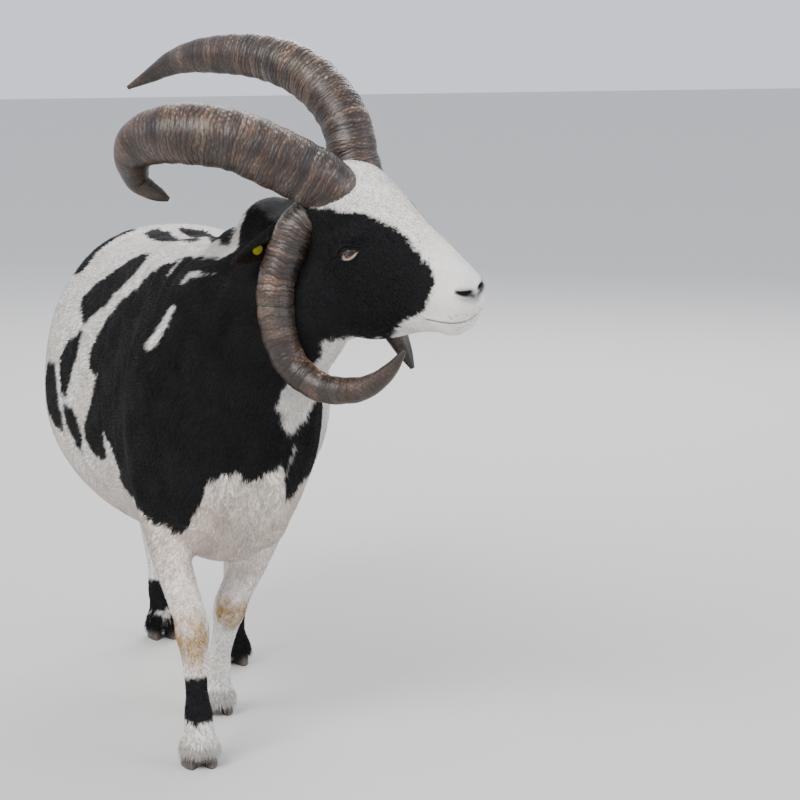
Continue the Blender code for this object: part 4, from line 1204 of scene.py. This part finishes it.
# %% [markdown]
# A ram's horn grows from its root in rings, so it is swept: a circle is extruded ring by ring along the
# horn's curve. Thin grooves are pressed in where growth paused, close together at the root and wider apart
# further on, with fine wavy wrinkles between them; the tip is worn nearly smooth.

# %% Horn curves, in the head's frame: middle and diameter
UPPER_RIGHT = [
    (-0.040, -0.036, 0.035, 0.074),
    (-0.056, -0.045, 0.066, 0.082),
    (-0.090, -0.065, 0.086, 0.086),
    (-0.119, -0.083, 0.101, 0.087),
    (-0.166, -0.110, 0.121, 0.086),
    (-0.214, -0.135, 0.124, 0.086),
    (-0.263, -0.150, 0.112, 0.080),
    (-0.297, -0.158, 0.091, 0.070),
    (-0.312, -0.158, 0.063, 0.054),
    (-0.311, -0.150, 0.027, 0.036),
    (-0.299, -0.142, 0.014, 0.029),
    (-0.285, -0.133, 0.005, 0.021),
    (-0.273, -0.125, -0.002, 0.007),
]
UPPER_LEFT = [
    (-0.048, 0.036, 0.030, 0.068),
    (-0.075, 0.044, 0.063, 0.071),
    (-0.106, 0.064, 0.101, 0.071),
    (-0.156, 0.084, 0.126, 0.070),
    (-0.221, 0.098, 0.140, 0.070),
    (-0.300, 0.102, 0.135, 0.064),
    (-0.386, 0.096, 0.112, 0.053),
    (-0.441, 0.086, 0.087, 0.038),
    (-0.480, 0.072, 0.056, 0.021),
    (-0.507, 0.055, 0.034, 0.006),
]
LOWER_RIGHT = [
    (-0.072, -0.045, 0.020, 0.050),
    (-0.085, -0.068, 0.002, 0.054),
    (-0.088, -0.092, -0.037, 0.054),
    (-0.086, -0.112, -0.073, 0.053),
    (-0.074, -0.126, -0.109, 0.052),
    (-0.055, -0.134, -0.148, 0.049),
    (-0.027, -0.138, -0.177, 0.046),
    (0.023, -0.138, -0.189, 0.041),
    (0.074, -0.134, -0.174, 0.036),
    (0.103, -0.128, -0.154, 0.029),
    (0.125, -0.120, -0.126, 0.020),
    (0.139, -0.112, -0.096, 0.007),
]
LOWER_LEFT = [
    (-0.072, 0.045, 0.020, 0.050),
    (-0.085, 0.068, 0.002, 0.054),
    (-0.096, 0.092, -0.040, 0.053),
    (-0.100, 0.108, -0.085, 0.052),
    (-0.094, 0.118, -0.135, 0.050),
    (-0.076, 0.122, -0.185, 0.045),
    (-0.045, 0.120, -0.228, 0.037),
    (-0.018, 0.114, -0.255, 0.024),
    (0.003, 0.108, -0.274, 0.007),
]
HORN_SIDES = 64
RING_STEP = 0.0011
TIP_RADIUS = 0.0008
CURVE_STEPS = 24
GROOVE_DEPTH = 0.00095
GROOVE_HALF = 0.00095
WRINKLE_STEP = 0.0031
WRINKLE_HEIGHT = 0.00019
SWELL_STEP = 0.031
SWELL_HEIGHT = 0.0006
SCALE_HEIGHT = 0.00022


def smooth_rows(rows, steps):
    """Rows along a smooth curve through the given rows."""
    rows = [np.array(row, float) for row in rows]
    padded = [2 * rows[0] - rows[1], *rows, 2 * rows[-1] - rows[-2]]
    result = []
    for first, start, end, last in zip(padded, padded[1:], padded[2:], padded[3:]):
        square = 2 * first - 5 * start + 4 * end - last
        cube = 3 * start - first - 3 * end + last
        for k in range(steps):
            t = k / steps
            result.append(0.5 * (2 * start + (end - first) * t + (square * t * t + cube * t**3)))
    result.append(rows[-1])
    return np.array(result)


def even_rows(rows, step):
    """The same curve with its rows a fixed step apart."""
    fine = smooth_rows(rows, CURVE_STEPS)
    lengths = np.concatenate([[0.0], np.cumsum(norms(np.diff(fine[:, :3], axis=0)))])
    at = np.linspace(0, lengths[-1], int(lengths[-1] / step))
    return at, np.stack([np.interp(at, lengths, column) for column in fine.T], axis=1)


# %% The horn's surface
def groove_places(total, fine, coarse, seed):
    """Where the grooves lie along a horn: close at the root, wider apart further on, none near the tip."""
    random = np.random.default_rng(seed)
    places = [0.003]
    while places[-1] < total * 0.90:
        share = min(places[-1] / total * 2.0, 1.0)
        places.append(places[-1] + (fine + (coarse - fine) * share) * random.uniform(0.7, 1.3))
    return np.array(places), random.uniform(0.25, 1.0, len(places)), random.uniform(-1, 1, len(places))


def horn_relief(s, points, lit_from_above, total, fine, coarse, seed):
    """How far each place stands out, and its tone from 0, dark, to 1, pale, with painted shade in the grooves
    and painted light on the crests and the upper side.
    """
    warped = s + 0.0020 * waves(points + seed, 0.040) + 0.0010 * waves(points, 0.013)
    grooves, depths, tones = groove_places(total, fine, coarse, seed)
    nearest = np.abs(warped[:, None] - grooves[None]).argmin(axis=1)
    apart = np.abs(warped - grooves[nearest])
    segment = np.clip(np.searchsorted(grooves, warped) - 1, 0, len(grooves) - 1)
    fade = np.clip((1 - s / total) * 2.2, 0.04, 1)
    groove = bell(apart, 0, GROOVE_HALF) * depths[nearest] * fade
    wrinkle = np.sin((warped + 0.0007 * waves(points, 0.006)) * 2 * pi / WRINKLE_STEP)
    swell = np.sin(warped * 2 * pi / SWELL_STEP + seed)
    scale = waves(points, 0.0045)
    height = -GROOVE_DEPTH * groove + WRINKLE_HEIGHT * wrinkle * fade
    height += SWELL_HEIGHT * swell * fade
    height += SCALE_HEIGHT * scale * fade
    # Painted shade and light: the grooves and the wrinkles' hollows are made darker, their crests and raised
    # scales paler.
    tone_and_painted_light = 0.36 + 0.14 * tones[segment] * fade + 0.09 * wrinkle * fade - 0.42 * groove
    tone_and_painted_light += 0.13 * waves(points, 0.055) + 0.10 * scale - 0.12 * (1 - fade)
    flakes = unit(waves(points + 0.3, 0.0065) + 0.6 * waves(points, 0.0031) - 0.25)
    # Painted light: the upper side is made paler, partly real flaking and partly a painted highlight from
    # above.
    tone_and_painted_light += unit(lit_from_above) * (0.55 * flakes + 0.10) * fade
    return height, unit(tone_and_painted_light)


# %% Sweep a circle along a curve
def frame_at(point, side, ahead, scale):
    """A frame at a point, with its first axis to the side and its third along the curve."""
    result = Matrix((side, ahead.cross(side), ahead)).transposed().to_4x4()
    result.translation = point
    return result @ Matrix.Diagonal(scale)


def sweep(bm, frames, sides, radius):
    """Extrude a circle from frame to frame: each ring's vertices, the first edges and the last ones."""
    rings = [bmesh.ops.create_circle(bm, segments=sides, radius=radius, matrix=frames[0])["verts"]]
    first_edges = edges = list(bm.edges)
    for before, here in zip(frames, frames[1:]):
        new = bmesh.ops.extrude_edge_only(bm, edges=edges)["geom"]
        verts = [g for g in new if isinstance(g, bmesh.types.BMVert)]
        edges = [g for g in new if isinstance(g, bmesh.types.BMEdge) and g.is_boundary]
        bmesh.ops.transform(bm, matrix=here @ before.inverted(), verts=verts)
        rings.append(verts)
    return rings, first_edges, edges


def horn_piece(name, rows, seed, fine, coarse):
    """A ringed horn swept along its curve, in place of the model's."""
    at, rows = even_rows(rows, RING_STEP)
    points = [head_frame @ Vector(row[:3]) for row in rows]
    side = Vector(turned(0, 0, 1)).normalized()
    frames = []
    for k, point in enumerate(points):
        ahead = (points[min(k + 1, len(points) - 1)] - points[max(k - 1, 0)]).normalized()
        side = (side - ahead * side.dot(ahead)).normalized()
        radius = max(rows[k][3] / 2, TIP_RADIUS)
        frames.append(frame_at(point, side, ahead, (radius, radius, 1, 1)))
    bm = bmesh.new()
    along_layer = bm.verts.layers.float.new("along")
    axis_layer = bm.verts.layers.float_vector.new("axis")
    rings, _, _ = sweep(bm, frames, HORN_SIDES, 1.0)
    for ring, distance, point in zip(rings, at, points):
        for vertex in ring:
            vertex[along_layer] = distance
            vertex[axis_layer] = point
    bmesh.ops.holes_fill(bm, edges=[e for e in bm.edges if e.is_boundary], sides=0)
    bmesh.ops.recalc_face_normals(bm, faces=bm.faces)
    mesh = mesh_from(bm, name)
    surface = coordinates(mesh)
    s = rows_of(mesh.attributes["along"].data, "value")
    out = surface - rows_of(mesh.attributes["axis"].data, "vector", 3)
    radius = norms(out)
    height, tone_and_painted_light = horn_relief(s, surface, out[:, 2] / radius, at[-1], fine, coarse, seed)
    surface += out / radius[:, None] * (height * np.clip(radius / 0.012, 0.05, 1))[:, None]
    mesh.attributes.new("tone_and_painted_light", "FLOAT", "POINT").data.foreach_set("value", tone_and_painted_light.astype(np.float32))
    move_vertices(mesh, surface)
    obj = shown(name, mesh, horn_material)
    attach(obj, "root")
    print(name, round(at[-1], 3), "m long,", len(mesh.polygons), "faces")
    return obj


# %% [markdown]
# Horn is drawn dark in the grooves with painted shade, grey to warm brown on the crests, and pale where
# flakes have lifted;
# on the upper side that paleness is partly a painted highlight. The colour ramp reads the stored tone, which
# follows the relief and carries this painted light, broken by fine noise, so that colour and form agree.

# %% The horn's material
horn_material, tree, shader = principled("horn_ringed", (0.2, 0.16, 0.12), 0.40)
where = place_on(tree)
tone_and_painted_light = add(tree, "Attribute", {}, attribute_name="tone_and_painted_light").outputs["Fac"]
broad = noise(tree, where, 26, 6, 0.65).outputs["Fac"]
flakes = noise(tree, where, 260, 5, 0.7).outputs["Fac"]
# The stored tone carries painted shade in the grooves and painted light on the crests and the upper side.
paleness = math_node(tree, "MULTIPLY_ADD", flakes, 0.55, tone_and_painted_light)
horn_colour = colour_ramp(
    tree,
    math_node(tree, "SUBTRACT", paleness, 0.26),
    (0.08, (0.011, 0.008, 0.006)),
    (0.36, (0.042, 0.028, 0.020)),
    (0.62, (0.112, 0.078, 0.055)),
    (0.92, (0.36, 0.31, 0.26)),
)
hue = colour_ramp(tree, broad, (0.40, (0.86, 0.92, 1.0)), (0.62, (1.0, 0.80, 0.62)))
tree.links.new(blended(tree, "MULTIPLY", 1.0, horn_colour, hue), shader.inputs["Base Color"])
bumped(tree, shader, flakes, 0.55, 0.0008)

# %% The four horns
for name, rows, seed, fine, coarse in (
    ("horn_upper_right", UPPER_RIGHT, 3, 0.0040, 0.0060),
    ("horn_upper_left", UPPER_LEFT, 7, 0.0040, 0.0060),
    ("horn_lower_right", LOWER_RIGHT, 12, 0.0045, 0.0150),
    ("horn_lower_left", LOWER_LEFT, 16, 0.0045, 0.0150),
):
    horn = horn_piece(name + "_ringed", rows, seed, fine, coarse)
    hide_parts(name)

# %% [markdown]
# A sheep's eye is amber with a long level pupil and a pale rim that shows at the corner. The ball carries
# its own coordinates as an attribute, so the iris, the pupil and the darker ring are drawn by the material
# round the way the eye looks, which is forward of straight out.

# %% Eyes
GAZE = (0.88, 0.30, -0.06)
IRIS = 0.0106
PUPIL_LONG = 0.0050
PUPIL_HIGH = 0.0021


def eye_piece(word, side):
    """A finely divided ball with its own coordinates: level, upright and out, from where it looks."""
    centre, out, along, across = eye_axes(side)
    gaze = out * GAZE[0] + along * GAZE[1] + across * GAZE[2]
    gaze /= np.linalg.norm(gaze)
    level = along - gaze * (along @ gaze)
    level /= np.linalg.norm(level)
    turn = Matrix((level, np.cross(gaze, level), gaze)).transposed().to_4x4()
    turn.translation = Vector(centre)
    bm = bmesh.new()
    bmesh.ops.create_uvsphere(bm, u_segments=64, v_segments=40, radius=EYE_RADIUS, matrix=turn)
    layer = bm.verts.layers.float_vector.new("gaze")
    back = turn.inverted()
    for vertex in bm.verts:
        vertex[layer] = back @ vertex.co
    name = "eye_ball_" + word
    obj = shown(name, mesh_from(bm, name), eye_material)
    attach(obj, "root")
    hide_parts("eye_" + word)
    return obj


EYE_SHADER = {"Coat Weight": 0.25, "Coat Roughness": 0.02, "Specular IOR Level": 0.30}
eye_material, tree, shader = principled("eye_amber", (0.3, 0.15, 0.05), 0.06, EYE_SHADER)
gaze = add(tree, "Attribute", {}, attribute_name="gaze").outputs["Vector"]
split_gaze = add(tree, "SeparateXYZ", {0: gaze})


def share_of(axis, size, power):
    """The distance out along an axis, as a share of a size and raised to a power."""
    share = math_node(tree, "DIVIDE", split_gaze.outputs[axis], size)
    return math_node(tree, "POWER", math_node(tree, "ABSOLUTE", share), power)


squares = math_node(tree, "ADD", share_of("X", IRIS, 2.0), share_of("Y", IRIS, 2.0))
pupil_reach = math_node(tree, "ADD", share_of("X", PUPIL_LONG, 3.0), share_of("Y", PUPIL_HIGH, 3.0))
iris = colour_ramp(
    tree,
    math_node(tree, "SQRT", squares),
    (0.20, (0.075, 0.026, 0.010)),
    (0.62, (0.085, 0.032, 0.013)),
    (0.84, (0.018, 0.010, 0.007)),
    (0.93, (0.035, 0.025, 0.020)),
    (1.0, (0.34, 0.28, 0.22)),
)
streaky = blended(tree, "OVERLAY", 0.5, iris, noise(tree, gaze, 900).outputs["Color"])
pupil_edge = add(tree, "MapRange", {"Value": pupil_reach, "From Min": 0.8, "From Max": 1.2}).outputs["Result"]
eye_colour = blended(tree, "MIX", pupil_edge, (0.004, 0.004, 0.005, 1), streaky)
tree.links.new(eye_colour, shader.inputs["Base Color"])
for word, side in (("right", -1), ("left", 1)):
    eye_piece(word, side)

# %% [markdown]
# The lids' rims are moist, hairless bands that lie on the ball. Each is a small circle swept round the
# almond of the opening; the lower one is painted a little paler, a painted highlight where it catches the
# light.

# %% Lids
LID_SIDES = 10
LID_STATIONS = 56
LID_THICK = 0.0017
LID_CLEAR = 0.0004
LID_DARK = np.array((0.022, 0.019, 0.019))
LID_PAINTED_HIGHLIGHT = np.array((0.27, 0.21, 0.18))
lid_material, tree, shader = principled("lid_moist", (0.030, 0.026, 0.026), 0.28, {"Coat Weight": 0.4})
stored = add(tree, "Attribute", {}, attribute_name="coat")
pores = noise(tree, place_on(tree), 1500).outputs["Fac"]
bumped(tree, shader, pores, 0.3, 0.0003)
tree.links.new(stored.outputs["Color"], shader.inputs["Base Color"])


def lid_path(centre, out, along, across):
    """Places on the ball round the eye's opening."""
    path = []
    for k in range(LID_STATIONS):
        angle = 2 * pi * k / LID_STATIONS
        u = EYE_LONG * cos(angle)
        v = EYE_HIGH * sin(angle) * (1 - ALMOND * cos(angle) ** 2) - EYE_DROP
        flat = along * u + across * v
        rise = (max((EYE_RADIUS + LID_CLEAR) ** 2 - flat.length_squared, 0.0)) ** 0.5
        path.append(centre + flat + out * max(rise, 0.0035))
    return path


def lid_piece(word, side):
    """A moist rim round the eye's opening."""
    axes = [Vector(v) for v in eye_axes(side)]
    path = lid_path(*axes)
    frames = []
    for k, point in enumerate(path):
        ahead = (path[(k + 1) % LID_STATIONS] - path[k - 1]).normalized()
        outward = (point - axes[0]).normalized()
        outward = (outward - ahead * outward.dot(ahead)).normalized()
        frames.append(frame_at(point, outward, ahead, (0.8, 1.25, 1.0, 1.0)))
    bm = bmesh.new()
    _, first_edges, last_edges = sweep(bm, frames, LID_SIDES, LID_THICK)
    bmesh.ops.bridge_loops(bm, edges=last_edges + first_edges)
    bmesh.ops.recalc_face_normals(bm, faces=bm.faces)
    mesh = mesh_from(bm, "lid_" + word)
    points = coordinates(mesh)
    u, v, w = eye_place(points, side)
    # Painted highlight: the lower rim is made paler, where it would catch the light.
    paint_points(mesh, mix(np.tile(LID_DARK, (len(points), 1)), LID_PAINTED_HIGHLIGHT, -v / 0.004))
    obj = shown("lid_" + word, mesh, lid_material)
    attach(obj, "root")
    return obj


for word, side in (("right", -1), ("left", 1)):
    lid_piece(word, side)

# %% [markdown]
# Claws are dark horn with growth lines that run level round them, paler and scuffed towards the ground.
# Each is a rounded copy of its node; the edge of the sole is creased so that it stays flat on the floor.

# %% Claws
SHARP = radians(50)
CREASE = 0.85
CLAW_LEVELS = 3
claw_material, tree, shader = principled("claw_horn", (0.08, 0.065, 0.055), 0.5)
where = place_on(tree)
height = add(tree, "SeparateXYZ", {0: where}).outputs["Z"]
bands = {"Vector": where, "Scale": 95, "Distortion": 2.0, "Detail": 3}
lines = add(tree, "TexWave", bands, wave_type="BANDS", bands_direction="Z")
limits = {"From Min": 0.0, "From Max": 0.03, "To Min": 0.75, "To Max": 0.25}
lowness = add(tree, "MapRange", {"Value": height, **limits}).outputs["Result"]
paleness = math_node(tree, "MULTIPLY", lowness, noise(tree, where, 160, 6).outputs["Fac"])
claw_colour = colour_ramp(tree, paleness, (0.08, (0.018, 0.014, 0.012)), (0.50, (0.11, 0.085, 0.063)))
tree.links.new(claw_colour, shader.inputs["Base Color"])
bumped(tree, shader, lines.outputs["Fac"], 0.5, 0.0007)


def claw_piece(name):
    """A rounded claw in place of the model's."""
    bm = welded(name)
    crease = bm.edges.layers.float.new("crease_edge")
    for e in bm.edges:
        if len(e.link_faces) == 2 and e.calc_face_angle() > SHARP:
            e[crease] = CREASE
    obj = shown(name + "_fine", rounded(bm, name + "_fine", CLAW_LEVELS), claw_material)
    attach(obj, "root")
    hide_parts(name)
    return obj


for name in sorted(nodes):
    if name.startswith("claw_"):
        claw_piece(name)

# %% [markdown]
# The ear tag is a plain moulded button, so the model's own solid is right as it is. Its plastic is slightly
# glossy, a little uneven and dusty.

# %% Ear tag
tag_material, tree, shader = principled("tag_plastic", (0.78, 0.68, 0.03), 0.38)
dust = noise(tree, place_on(tree), 350, 5).outputs["Fac"]
tag_colour = colour_ramp(tree, dust, (0.35, (0.52, 0.43, 0.05)), (0.55, (0.82, 0.74, 0.03)))
tree.links.new(tag_colour, shader.inputs["Base Color"])
for material_slot in nodes["ear_tag"].material_slots:
    material_slot.material = tag_material
